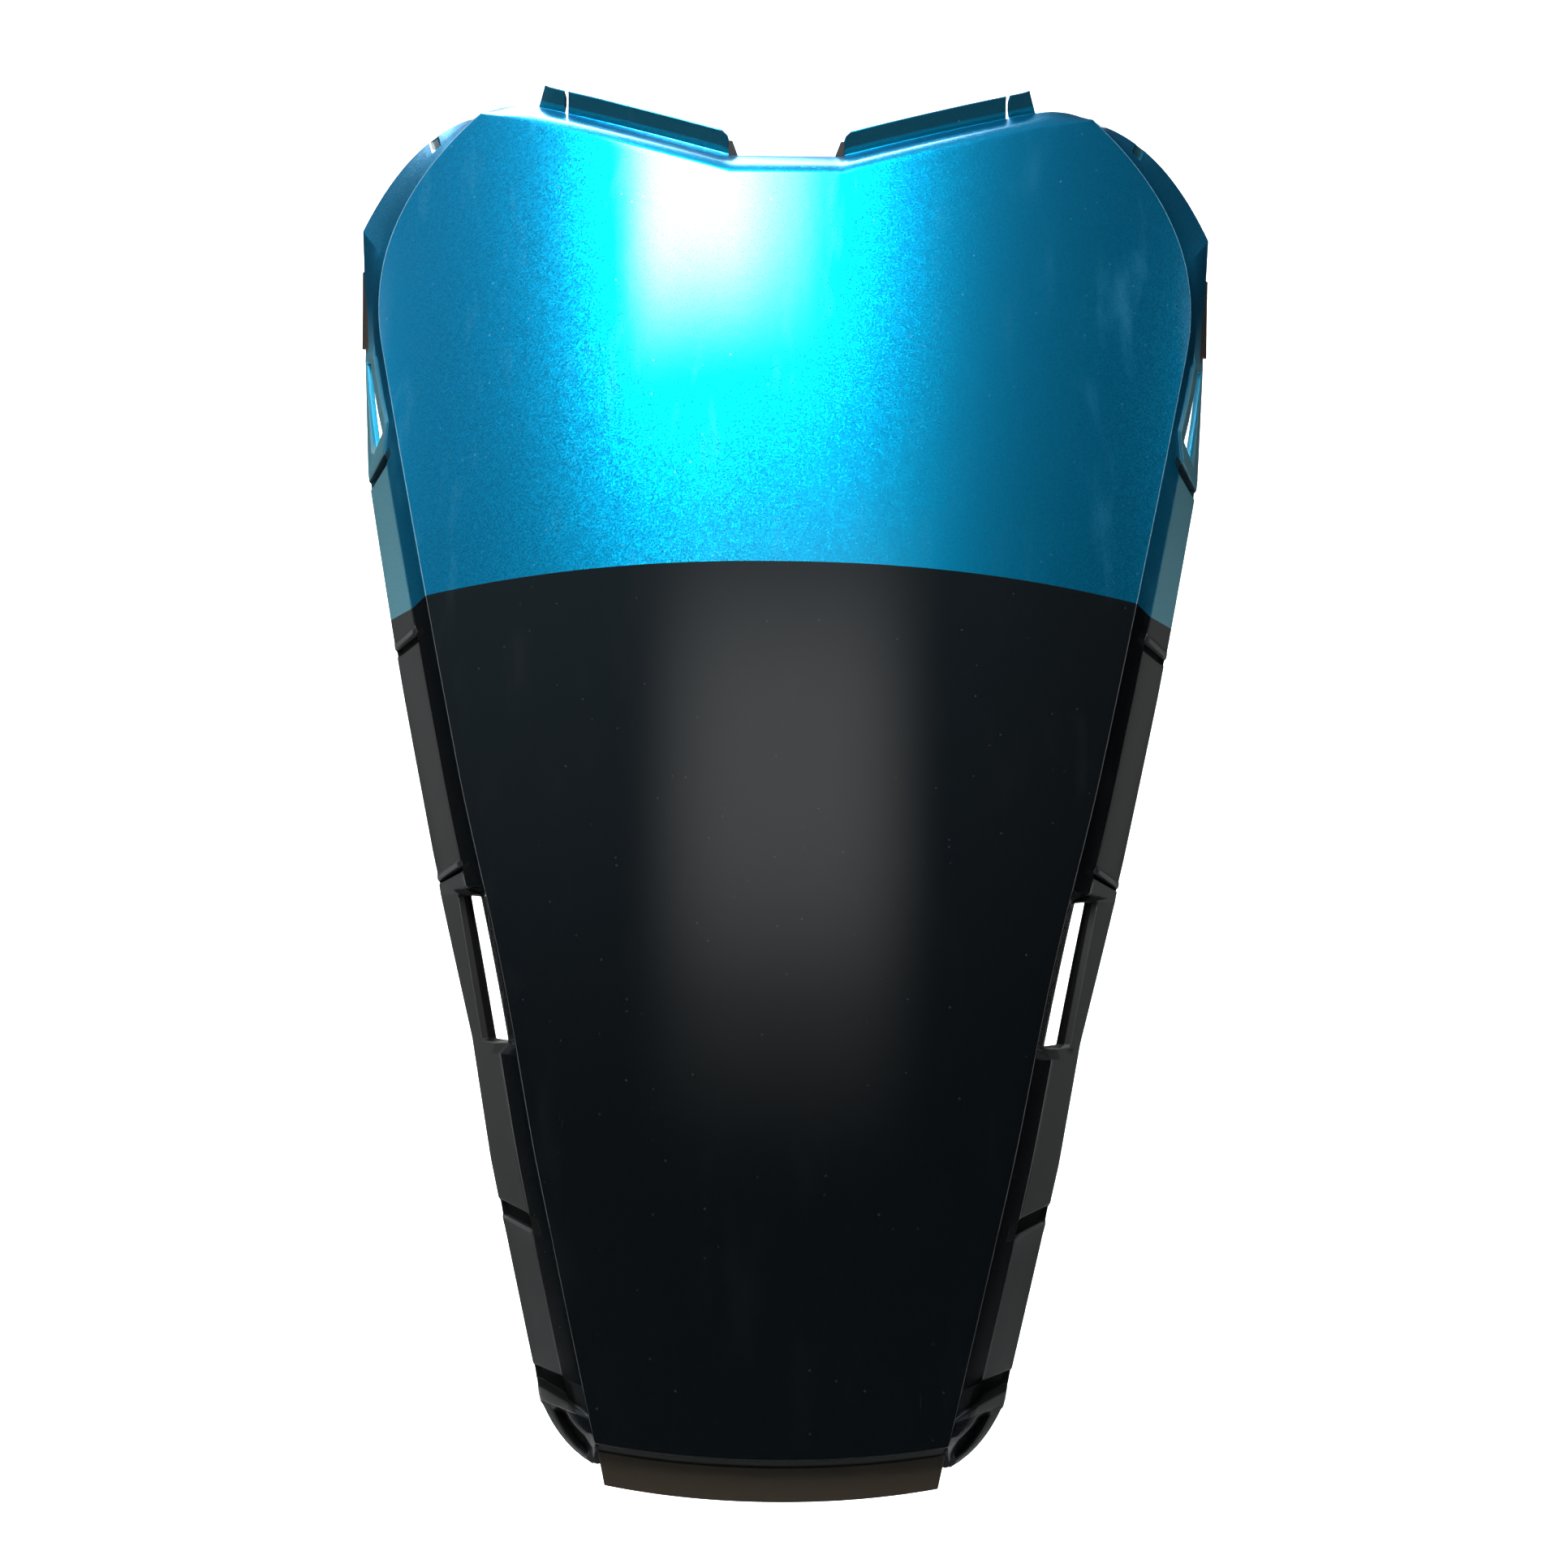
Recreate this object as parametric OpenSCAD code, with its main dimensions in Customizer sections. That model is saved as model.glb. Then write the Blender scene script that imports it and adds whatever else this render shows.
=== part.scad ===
// Front apron panel of a scooter or light motorcycle: one moulding with a bowed, heart-shaped face,
// a stepped flange round both sides, a rolled top shelf with two lugs and a joggled bottom tongue.
// Millimetres, +Z up, the painted face looks along -Y. The origin is midway between the two upper
// rear screw bosses, on their end plane. Heights below are measured from the tip of the tongue.

/* [Face outline] */
// Width of the face along its bottom edge
face_bottom_w = 155; // [130:1:175]
// Width of the face where its straight sides end
face_shoulder_w = 381; // [365:1:390]
// Width of the face between its two top corners
face_top_w = 292; // [280:1:300]
// Height of the face's bottom corners
bottom_corner_z = 25; // [22:1:30]
// Height where the straight sides end
shoulder_z = 520; // [512:1:521]
// Height of the face's top corners
top_corner_z = 633; // [625:0.5:640]
// Dip of the bottom edge at the middle, below its corners
bottom_bow = 5.5; // [2:0.5:8]
// Dip of the top edge at the middle, below its corners
top_dip = 34.5; // [26:0.5:40]
// Width of the level stretch in the middle of the top edge
top_level_w = 52; // [44:1:60]
// Reach of the shoulder curve up from the straight side
shoulder_reach = 46; // [38:1:54]

/* [Face curvature] */
// Lean of the face from the vertical at its waist, in degrees
lean = 4.2; // [2:0.1:7]
// Height of the waist, where the upper bow meets the lower one
waist_z = 220; // [180:5:260]
// Radius of the bow above the waist
upper_bow_r = 1400; // [1200:10:1800]
// Radius of the bow below the waist
lower_bow_r = 4000; // [3000:50:6000]
// Depth that the crown falls away over the crown width
crown_depth = 46; // [35:1:55]
// Width over which the crown depth is measured
crown_w = 360; // [340:5:380]
// Fullness of the crown: 2 is a plain arc, more is flatter in the middle
crown_power = 2.6; // [2.2:0.1:3]

/* [Wall and flange] */
// Thickness of the moulded wall
wall = 2.6; // [2.2:0.1:3]
// Distance of the flange's outer edge from the face, sideways, at the bottom
flange_w = 22.9; // [20:0.1:24]
// The same distance beside the lower slot
flange_slot_w = 20.3; // [19:0.1:22]
// The same distance between the two ridges
flange_mid_w = 22.2; // [20:0.1:24]
// The same distance at the bend
flange_bend_w = 20.6; // [18:0.1:22]
// Depth of the flange's outer edge behind the face
flange_depth = 25; // [22:0.5:28]
// Depth of the step wall just outside the face
step_depth = 13; // [10:0.5:15]
// Height where the flange's outer edge bends upright
flange_bend_z = 461; // [450:1:470]
// Height of the flange's outer shoulder corner
ear_corner_z = 581; // [576:1:586]
// How far the shoulder corner stands outside the bend
ear_corner_out = 7.8; // [6:0.2:11]
// Depth of the shallow recesses along the flange
recess = 1.2; // [0.6:0.1:1.4]
// Height of the small ridges that close the recesses
ridge = 0.9; // [0.5:0.1:1.2]
// Depth of the narrow grooves across the flange
groove = 2.8; // [1.6:0.1:3]
// Depth of the bottom hook's outer rim behind the face
hook_depth = 9; // [6:0.5:12]
// Depth of the crescent recess in the bottom hook
hook_recess = 4; // [2:0.5:5]

/* [Side slots and tabs] */
// Height of the upper slot's lower end
upper_slot_z = 488; // [486:0.5:490]
// Length of the upper slot
upper_slot_h = 28; // [22:0.5:29]
// Height of the lower slot's lower end
lower_slot_z = 199; // [190:1:206]
// Length of the lower slot
lower_slot_h = 63.5; // [54:0.5:66]
// Depth of the pocket beside the lower slot
pocket_depth = 11; // [8:0.5:13]
// Height of the side tab's lower end
side_tab_z = 522.5; // [521.5:0.5:528]
// Length of the side tab
side_tab_h = 38.5; // [30:0.5:42]
// How far the side tab stands proud of the flange
side_tab_out = 2.4; // [1.8:0.1:3]

/* [Top shelf and lugs] */
// Depth of the top shelf behind the face's top edge
shelf_depth = 14; // [12:0.5:17]
// Climb of the top shelf from the face's top edge
shelf_rise = 11; // [8:0.5:12]
// Height of the lugs above the shelf
lug_h = 10.5; // [8:0.5:13]
// Distance of the lugs' outer ends from the middle
lug_outer = 118.5; // [110:0.5:124]
// Distance of the slit in each lug from the middle
lug_slit = 104; // [98:0.5:107]
// Width of the slit in each lug
lug_slit_w = 1.6; // [1.2:0.1:2.4]
// Thickness of the gusset at each lug's inner end
gusset_t = 1.8; // [1.4:0.1:2.4]
// Reach of that gusset along the shelf
gusset_w = 3.6; // [2.5:0.1:5]
// Height of that gusset above the shelf
gusset_h = 6.8; // [5:0.1:7.5]

/* [Bottom tongue] */
// Length of the tongue below the face's bottom edge
tongue_h = 19.5; // [16:0.5:22]
// Set-back of the tongue behind the face
tongue_set_back = 5.5; // [4.5:0.1:7]
// Narrowing of the tongue at its tip, on each side
tongue_taper = 4; // [2:0.2:7]

/* [Rear screw bosses] */
// Distance between the two upper bosses
upper_boss_gap = 150; // [120:1:170]
// Height of the upper bosses
upper_boss_z = 520; // [500:1:535]
// Distance between the two lower bosses
lower_boss_gap = 110; // [90:1:130]
// Height of the lower bosses
lower_boss_z = 120; // [100:1:140]
// Outer diameter of a boss
boss_d = 9; // [8:0.2:11]
// Diameter of the pilot hole in a boss
pilot_d = 3.4; // [3:0.1:4]
// Depth of the pilot hole
pilot_depth = 11; // [9:0.5:12]
// Length of a boss behind the wall, on its axis
boss_h = 15; // [14:0.5:20]
// Length of the ribs that stay a boss, from its axis
boss_rib_l = 12; // [10:0.5:16]
// Thickness of those ribs
boss_rib_t = 1.6; // [1.2:0.1:2]

/* [Hidden] */

// Heights where the flange changes level, at the face's edge, from the bottom up
hook_h = 12;
hook_z = bottom_corner_z + hook_h;
low_joggle_z = 111.2;
mid_joggle_z = 281.8;
high_joggle_z = 388.5;
groove_z = 473.1;
// Widths of the grooves and lips there, along the face's edge
hook_band = 9.9;
low_band = 6.2;
lip_band = 2;
groove_band = 3.4;
// Length of the bevels between two levels, and of the shorter ones beside a lip
bevel = 1.6;
lip_bevel = 0.8;
// Length of the channel below each lip
channel = lip_band + 2 * lip_bevel;
// Longest stretch of wall between two rows of the moulding's surface
row_pitch = 17;

// Shape functions
function ramp(a, b, t) = max(0, min(1, (t - a) / (b - a)));
function smooth(t) = t * t * (3 - 2 * t);
function mix(a, b, t) = a + (b - a) * t;
function bezier2(a, b, c, t) = mix(mix(a, b, t), mix(b, c, t), t);
function bezier3(a, b, c, d, t) = mix(bezier2(a, b, c, t), bezier2(b, c, d, t), t);

// Depth of the face's surface at a place: a bow up the middle line and a crown across it
function bow(z) =
    tan(lean) * (z - waist_z) + pow(z - waist_z, 2) / (2 * (z > waist_z ? upper_bow_r : lower_bow_r));
function crown(x) = crown_depth * pow(abs(x) / (crown_w / 2), crown_power);
function face_y(x, z) = bow(z) + crown(x);
// Slopes of that surface, sideways and upwards
function slope_x(x) = crown_depth * crown_power / (crown_w / 2) * pow(abs(x) / (crown_w / 2), crown_power - 1);
function slope_z(z) = tan(lean) + (z - waist_z) / (z > waist_z ? upper_bow_r : lower_bow_r);

// Face edge in front view, right half: a straight side, then a shoulder curve up to the top corner
side_slope = (face_shoulder_w - face_bottom_w) / 2 / (shoulder_z - bottom_corner_z);
function straight_x(z) = face_bottom_w / 2 + (z - bottom_corner_z) * side_slope;
// The sides draw in a little beside the lower slot
side_dip = 2;
side_dip_z = 232;
side_dip_reach = 90;
function side_x(z) = straight_x(z) - side_dip * pow(max(0, 1 - pow((z - side_dip_z) / side_dip_reach, 2)), 2);
top_corner = [face_top_w / 2, top_corner_z];
shoulder_start = [face_shoulder_w / 2, shoulder_z];
shoulder_up = shoulder_start + shoulder_reach * [side_slope, 1];
corner_handle = [36, -31];
corner_lead = top_corner + corner_handle;

// Flange edge in front view, right half: hook, straight run, bend, sharp shoulder corner, top corner
hook_rise = 12;
hook_edge = [straight_x(hook_z + hook_rise) + flange_w, hook_z + hook_rise];
bend_edge = [straight_x(flange_bend_z) + flange_bend_w, flange_bend_z];
hook_tip = [face_bottom_w / 2 + 1.2, bottom_corner_z - 11];
// The hook's edge stands a little further in than the flange's, and how its curve is drawn
hook_set_in = [1.2, 0];
hook_lead = [hook_edge[0] - 9.4, hook_tip[1] + 10];
ear_corner = [bend_edge[0] + ear_corner_out, ear_corner_z];
edge_top_step = [3.6, 1.5];
edge_top = top_corner + edge_top_step;
ear_lead_share = 0.64;
ear_lead_drop = 9.5;
ear_lead = [mix(edge_top[0], ear_corner[0], ear_lead_share), edge_top[1] - ear_lead_drop];
// Share of the shoulder curve that lies below the outer corner
ear_share = 0.34;
// Heights up to which the flange keeps its lowest width, and its width between the ridges
flange_low_top = 146;
flange_mid_top = 357;
upper_slot_top = upper_slot_z + upper_slot_h;
lower_slot_top = lower_slot_z + lower_slot_h;
side_tab_top = side_tab_z + side_tab_h;
function edge_x(z) = z < flange_bend_z
    ? straight_x(z) + lookup(z, [[flange_low_top, flange_w], [lower_slot_z, flange_slot_w],
                                 [mid_joggle_z, flange_mid_w], [flange_mid_top, flange_mid_w],
                                 [flange_bend_z, flange_bend_w]])
    : mix(bend_edge[0], ear_corner[0], (z - bend_edge[1]) / (ear_corner[1] - bend_edge[1]));
// The flange's features run slantwise: how much higher they are at its outer edge
function slant(z) = lookup(z, [
    [hook_z, hook_rise], [hook_z + hook_band + bevel, 6.8], [low_joggle_z, 10],
    [low_joggle_z + low_band + bevel, 9.3], [mix(low_joggle_z, lower_slot_z, 0.5), 3],
    [lower_slot_z, 0], [lower_slot_top, 0], [mid_joggle_z, -13],
    [high_joggle_z, -13.4], [groove_z, -20], [upper_slot_z, -25.5], [upper_slot_top, -2.5],
    [shoulder_z, 0]]);

// Stations run from 0 at the bottom corner to 1 at the hook, 2 at the shoulder, 3 at the top corner
function crease(s) =
    s < 1 ? [side_x(mix(bottom_corner_z, hook_z, s)), mix(bottom_corner_z, hook_z, s)]
    : s < 2 ? [side_x(mix(hook_z, shoulder_z, s - 1)), mix(hook_z, shoulder_z, s - 1)]
    : bezier3(shoulder_start, shoulder_up, corner_lead, top_corner, s - 2);
function flange_edge(s) =
    s < 1 ? bezier2(hook_tip, hook_lead, hook_edge - hook_set_in, s)
    : s < 2 ? (let (z = mix(hook_z, shoulder_z, s - 1) + slant(mix(hook_z, shoulder_z, s - 1)))
               [edge_x(z), z])
    : s < 2 + ear_share
        ? (let (z = mix(shoulder_z, ear_corner_z, (s - 2) / ear_share)) [edge_x(z), z])
    : bezier2(ear_corner, ear_lead, edge_top, (s - 2 - ear_share) / (1 - ear_share));
// Station of a height at the face's edge, and of a height at the flange's edge above the shoulder
function at_z(z) = 1 + (z - hook_z) / (shoulder_z - hook_z);
function at_ear(z) = 2 + ear_share * (z - shoulder_z) / (ear_corner_z - shoulder_z);

// Rows of the surface: [station, level of the flange, kind]; the kinds tell the slots and the hook
PLAIN = 0;
UPPER = 1;
LOWER = 2;
HOOK = 3;
BESIDE_LOWER = 4;
function row(z, level, kind = PLAIN) = [at_z(z), level, kind];
function fill(a, b, level, kind = PLAIN) =
    let (n = ceil((b - a) / row_pitch)) [for (i = [1:1:n - 1]) row(mix(a, b, i / n), level, kind)];
// A lip with a channel below it, between two levels
function lip_rows(z, before, after) = [
    row(z - channel, before), row(z - lip_band - lip_bevel, groove), row(z - lip_bevel, groove),
    row(z, -ridge), row(z + lip_band, -ridge), row(z + lip_band + bevel, after)];
// A groove from z up to z + band, between two levels
function groove_rows(z, band, before, after) = [
    row(z - bevel, before), row(z, groove), row(z + band, groove), row(z + band + bevel, after)];
// Stations of the hook's recess and of the wall that closes the hook towards the flange
hook_rows = [[0, 0, HOOK], [0.25, 1, HOOK], [0.4, 1, HOOK], [0.53, 1, HOOK], [0.66, 1, HOOK],
             [0.86, 0, HOOK]];
hook_top = 0.86;
// Station of the small notch high on the shoulder, its width and the length of its bevels
notch_s = 2.79;
notch_w = 0.028;
notch_bevel = 0.012;
notch_low = notch_s - notch_w / 2;
notch_high = notch_s + notch_w / 2;
// Rows round the shoulder corner, up to the notch, and from the notch to the top corner
function plain_rows(a, b, n) = [for (i = [1:1:n]) [mix(a, b, i / n), 0, PLAIN]];
tab_stations = [at_ear(side_tab_z), at_ear(side_tab_top)];
body_rows = concat(
    hook_rows,
    [row(hook_z, groove), row(hook_z + hook_band, groove), row(hook_z + hook_band + bevel, recess / 2)],
    fill(hook_z + hook_band + bevel, low_joggle_z - bevel, recess / 2),
    groove_rows(low_joggle_z, low_band, 0, 0),
    fill(low_joggle_z + low_band + bevel, lower_slot_z - bevel, 0),
    [row(lower_slot_z - bevel, 0, BESIDE_LOWER), row(lower_slot_z, 0, LOWER)],
    fill(lower_slot_z, lower_slot_top, 0, LOWER),
    [row(lower_slot_top, 0, LOWER), row(lower_slot_top + bevel, 0, BESIDE_LOWER)],
    fill(lower_slot_top + bevel, mid_joggle_z - channel, 0),
    lip_rows(mid_joggle_z, 0, recess),
    fill(mid_joggle_z + lip_band + bevel, high_joggle_z - channel, recess),
    lip_rows(high_joggle_z, recess, 0),
    fill(high_joggle_z + lip_band + bevel, groove_z - bevel, 0),
    groove_rows(groove_z, groove_band, 0, -ridge),
    [row(upper_slot_z - bevel, -ridge), row(upper_slot_z, -ridge, UPPER)],
    fill(upper_slot_z, upper_slot_top, -ridge, UPPER),
    [row(upper_slot_top, -ridge, UPPER), row(upper_slot_top + bevel, -ridge)],
    [[tab_stations[0], 0, PLAIN]],
    plain_rows(tab_stations[0], tab_stations[1], 4),
    plain_rows(tab_stations[1], 2 + ear_share, 1),
    plain_rows(2 + ear_share, notch_low - notch_bevel, 5),
    [[notch_low, recess, PLAIN], [notch_high, recess, PLAIN], [notch_high + notch_bevel, 0, PLAIN]],
    plain_rows(notch_high + notch_bevel, 3, 3));

// Rows below the face form the tongue: [set-back, drop], shares of the tongue's own sizes
tongue_rows = [[1, 1], [1, 0.62], [0.93, 0.18], [0.65, 0.04]];
// Rows behind the top edge form the shelf: [depth, rise], shares of the shelf's own sizes
shelf_rows = [[0.24, 0.42], [0.56, 0.7], [1, 1]];
rows_tongue = len(tongue_rows);
rows_body = len(body_rows);
rows_shelf = len(shelf_rows);
row_face = rows_tongue;
row_top = rows_tongue + rows_body - 1;
row_lug = row_top + rows_shelf + 1;
rows = row_lug + 1;

// Columns of the right half: the face from the middle to its edge, the flange, then the side tab
lug_inner = top_level_w / 2;
half_top = face_top_w / 2;
lug_marks = [lug_inner, mix(lug_inner, lug_slit, 0.33), mix(lug_inner, lug_slit, 0.67),
             lug_slit, lug_slit + lug_slit_w, lug_outer];
lug_cols = len(lug_marks);
face_u = concat([0], lug_marks / half_top, [mix(lug_outer, half_top, 0.5) / half_top, 1]);
face_cols = len(face_u) - 1;
flange_cols = 6;
half_cols = face_cols + flange_cols + 1;
cols = 2 * half_cols + 1;

// Shares of the flange's width at its columns, where each kind of row starts and where it ends
plain_u = [0, 0.4, 0.46, 0.6, 0.76, 0.92, 1];
upper_slot_u = [[0, 0.16, 0.23, 0.3, 0.37, 0.61, 1], [0, 0.3, 0.44, 0.55, 0.655, 0.845, 1]];
lower_slot_u = [[0, 0.14, 0.2, 0.48, 0.56, 0.77, 1], [0, 0.08, 0.12, 0.39, 0.465, 0.62, 1]];
hook_u = [[0, 0.14, 0.26, 0.42, 0.66, 0.84, 1], [0, 0.28, 0.46, 0.6, 0.68, 0.82, 1]];
column_u = [[plain_u, plain_u], upper_slot_u, lower_slot_u, hook_u, lower_slot_u];
lower_slot_span = [at_z(lower_slot_z), at_z(lower_slot_top)];
spans = [[0, 1], [at_z(upper_slot_z), at_z(upper_slot_top)], lower_slot_span, [0.38, 0.7], lower_slot_span];
function flange_u(m, kind, s) =
    mix(column_u[kind][0][m], column_u[kind][1][m], ramp(spans[kind][0], spans[kind][1], s));
// How much of a level each column of the flange takes, and where the hook's recess lies
sink_share = [0, 0, 1.2, 1, 0.9, 0.8, 0.25, 0.25];
hook_sink_share = [0, 0, 0, 1, 1, 0, 0, 0];
// Direction in which the flange's levels sink, sideways and backwards
sink = [-0.83, 0.56];
// Depth of the wall between the face and the pocket, and the pocket's rise towards its outer side
pocket_wall_share = 0.7;
pocket_floor_share = 0.95;
function flange_y(m, kind, s, step, depth) =
    let (u = flange_u(m, kind, s), stepped = step + (depth - step) * ramp(plain_u[1], 1, u),
         level = mix(stepped, depth * u, smooth(ramp(at_z(high_joggle_z), at_z(upper_slot_z), s))))
    m == 0 ? 0
    : kind == HOOK ? depth * u
    : kind == LOWER && m < 3 ? step * (m == 1 ? pocket_wall_share : 1)
    : kind == LOWER && m < 5 ? step + pocket_depth * (m == 3 ? 1 : pocket_floor_share)
    : level;

// Height of a row at a share of the way from the middle to the face's edge
function edge_rise(z) = mix(bottom_bow, top_dip, ramp(bottom_corner_z, top_corner_z, z));
function row_form(u, s) =
    let (level_u = lug_inner / half_top, t = smooth(ramp(1.7, 3, s)))
    mix(u * u, max(0, u - level_u) / (1 - level_u), t);
function face_point(u, s) =
    let (c = crease(s), x = u * c[0], z = c[1] - edge_rise(c[1]) * (1 - row_form(u, s)))
    [x, face_y(x, z), z];

// The side tab stands out less at its upper end
tab_top_share = 0.45;
function tab_out(s) = side_tab_out * mix(1, tab_top_share, ramp(tab_stations[0], tab_stations[1], s));

// Flange point at column m of a row, the column past the flange's edge is the side tab's
function flange_point(m, s, level, kind) =
    let (c = crease(s), e = flange_edge(s), column = min(m, flange_cols),
         full = s < 1 ? mix(hook_depth, flange_depth, ramp(hook_top, 1, s)) : flange_depth,
         depth = mix(full, shelf_depth + 2, smooth(ramp(2 + ear_share, 3, s))),
         xz = mix(c, e, flange_u(column, kind, s)),
         tab = m > flange_cols ? tab_out(s) : 0,
         sunk = kind == HOOK ? [0, hook_recess * level * hook_sink_share[m]] : sink * level * sink_share[m],
         y = face_y(c[0], c[1]) + flange_y(column, kind, s, step_depth, depth))
    [xz[0] + tab + sunk[0], y + 2 * tab + sunk[1], xz[1]];

// Shelf point behind the top edge, and the fan that turns the corner from the shelf into the flange
shelf_corner_share = 0.25;
function shelf_climb(u) =
    shelf_rise * mix(1, shelf_corner_share, pow(ramp(lug_outer / half_top, 1, u), 2));
function shelf_point(u, back, up) = face_point(u, 3) + [0, back, up];
function shelf_at(r, which) =
    lookup(r, concat([[0, 0]], [for (i = [0:rows_shelf - 1]) [(i + 1) / rows_shelf, shelf_rows[i][which]]]));
function fan_point(a, m) =
    let (alpha = a / rows_shelf, beta = m / flange_cols, r = max(alpha, beta),
         turn = beta >= alpha ? alpha / beta / 2 : 1 - beta / alpha / 2,
         k = r * flange_cols, lo = min(floor(k), flange_cols - 1),
         f = mix(flange_point(lo, 3, 0, PLAIN), flange_point(lo + 1, 3, 0, PLAIN), k - lo))
    mix(f, shelf_point(1, shelf_depth * shelf_at(r, 0), shelf_climb(1) * shelf_at(r, 1)), turn);

// The lugs lean forward a little and their outer ends are chamfered
lug_lean = 1.2;
lug_chamfer = 3;

// Tongue point below the bottom edge
function tongue_point(u, share) =
    face_point(u, 0) + [-u * tongue_taper * share[1], tongue_set_back * share[0], -tongue_h * share[1]];

// Grid point of row i and column j; j counts from the left edge, the right half is mirrored over
function right_point(i, k, levels) =
    k > face_cols
        ? (i < row_face ? tongue_point(1, tongue_rows[i])
           : i <= row_top
               ? (let (r = body_rows[i - row_face])
                  flange_point(k - face_cols, r[0], levels ? r[1] : 0, r[2]))
           : fan_point(min(i - row_top, rows_shelf), min(k - face_cols, flange_cols)))
    : let (u = face_u[k])
      i < row_face ? tongue_point(u, tongue_rows[i])
      : i <= row_top ? face_point(u, body_rows[i - row_face][0])
      : i < row_lug
          ? (let (r = shelf_rows[i - row_top - 1]) shelf_point(u, shelf_depth * r[0], shelf_climb(u) * r[1]))
      : shelf_point(u, shelf_depth - lug_lean, shelf_rise + lug_h)
        - [u == face_u[lug_cols] ? lug_chamfer : 0, 0, 0];
function grid_point(i, j, levels) =
    let (k = abs(j - half_cols), p = right_point(i, k, levels)) j < half_cols ? [-p[0], p[1], p[2]] : p;

// Cells that are there: tongue and shelf have no flange, lugs have their slit, slots are left open
function is_wall(i, k) =
    k >= half_cols || i < 0 || i >= rows - 1 ? false
    : i < row_face ? k < face_cols
    : i >= row_lug - 1 ? k > 0 && k < lug_cols && k != lug_cols - 2
    : i >= row_top ? k < half_cols - 1
    : let (a = body_rows[i - row_face], b = body_rows[i - row_face + 1], m = k - face_cols)
      m == flange_cols ? a[0] >= tab_stations[0] - 0.0001 && b[0] <= tab_stations[1] + 0.0001
      : m == 2 ? a[2] != LOWER || b[2] != LOWER
      : m == 4 ? a[2] != UPPER || b[2] != UPPER
      : true;
function cell_k(j) = j >= half_cols ? j - half_cols : half_cols - 1 - j;
cells = [for (i = [0:rows - 2]) [for (j = [0:cols - 2]) is_wall(i, cell_k(j))]];
function cell(i, j) = i >= 0 && j >= 0 && i < rows - 1 && j < cols - 1 && cells[i][j];

// Outer skin, its smooth form, and an inner skin one wall behind it, along the smooth form's normals
outer = [for (i = [0:rows - 1]) [for (j = [0:cols - 1]) grid_point(i, j, true)]];
plain = [for (i = [0:rows - 1]) [for (j = [0:cols - 1]) grid_point(i, j, false)]];
function unit(v) = v / max(norm(v), 0.000001);
normals = [for (i = [0:rows - 2]) [for (j = [0:cols - 2])
    unit(cross(plain[i][j + 1] - plain[i + 1][j], plain[i + 1][j + 1] - plain[i][j]))]];
function around(i, j) = [for (a = [i - 1, i]) for (b = [j - 1, j]) if (cell(a, b)) normals[a][b]];
function sum(v, i = 0) = i >= len(v) ? [0, 0, 0] : v[i] + sum(v, i + 1);
// Least squared length of a mean normal, which limits the mitre at a sharp edge
mitre_limit = 0.45;
function inner_point(i, j) =
    let (n = around(i, j), v = len(n) > 0 ? sum(n) / len(n) : [0, 0, 0])
    outer[i][j] - wall * v / max(v * v, mitre_limit);
inner = [for (i = [0:rows - 1]) [for (j = [0:cols - 1]) inner_point(i, j)]];

// Faces: two triangles for each skin of a cell, and a rim wherever a cell borders an open place
function id(i, j) = i * cols + j;
function quad(a, b, c, d) = [[a, c, b], [a, d, c]];
skin_faces = [for (i = [0:rows - 2]) for (j = [0:cols - 2]) if (cell(i, j))
    each concat(quad(id(i, j), id(i, j + 1), id(i + 1, j + 1), id(i + 1, j)),
                quad(id(i, j) + rows * cols, id(i + 1, j) + rows * cols,
                     id(i + 1, j + 1) + rows * cols, id(i, j + 1) + rows * cols))];
function rim(a, b) = quad(a, a + rows * cols, b + rows * cols, b);
rim_faces = [for (i = [0:rows - 2]) for (j = [0:cols - 2]) if (cell(i, j)) each concat(
    cell(i - 1, j) ? [] : rim(id(i, j), id(i, j + 1)),
    cell(i + 1, j) ? [] : rim(id(i + 1, j + 1), id(i + 1, j)),
    cell(i, j - 1) ? [] : rim(id(i + 1, j), id(i, j)),
    cell(i, j + 1) ? [] : rim(id(i, j + 1), id(i + 1, j + 1)))];

// The moulded wall itself
module shell() {
    polyhedron(points = concat([for (r = outer) each r], [for (r = inner) each r]),
               faces = concat(skin_faces, rim_faces), convexity = 8);
}

// A thin triangular gusset at a lug's inner end, standing on the shelf's back edge
module lug_gusset() {
    foot = shelf_point(lug_inner / half_top, shelf_depth, shelf_rise);
    lap = 1.2;
    translate([0, foot[1] + lap, 0])
        rotate([90, 0, 0])
            linear_extrude(height = gusset_t)
                polygon([[foot[0] + lap, foot[2] - lap], [foot[0] - gusset_w, foot[2] - lap],
                         [foot[0] - lap / 2, foot[2] + gusset_h], [foot[0] + lap, foot[2] + gusset_h]]);
}

// A small web that closes the corner between the hook's tip and the tongue's side
module corner_web() {
    corner = [face_bottom_w / 2, bottom_corner_z];
    lap = 2;
    translate([0, face_y(corner[0], corner[1]) + tongue_set_back + 2.1 * wall, 0])
        rotate([90, 0, 0])
            linear_extrude(height = 1.75 * wall)
                polygon([corner + [-1.2, -0.95] * lap, corner + [0.9, -0.8] * lap,
                         hook_tip + [1.45, 1.8] * lap, hook_tip + [0.7, 0.85] * lap,
                         hook_tip + [-1.05, 0.3] * lap,
                         [corner[0] - 0.85 * tongue_taper, hook_tip[1] + 0.6 * lap]]);
}

// A block that fills everything behind the middle of the wall near one place, used to foot the bosses
module behind_wall(x, z, size) {
    translate([x, face_y(x, z) + wall / 2, z])
        rotate([-atan(slope_z(z)), 0, 0])
            rotate([0, 0, atan(slope_x(x))])
                translate([-size / 2, 0, -size / 2])
                    cube(size);
}

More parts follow.
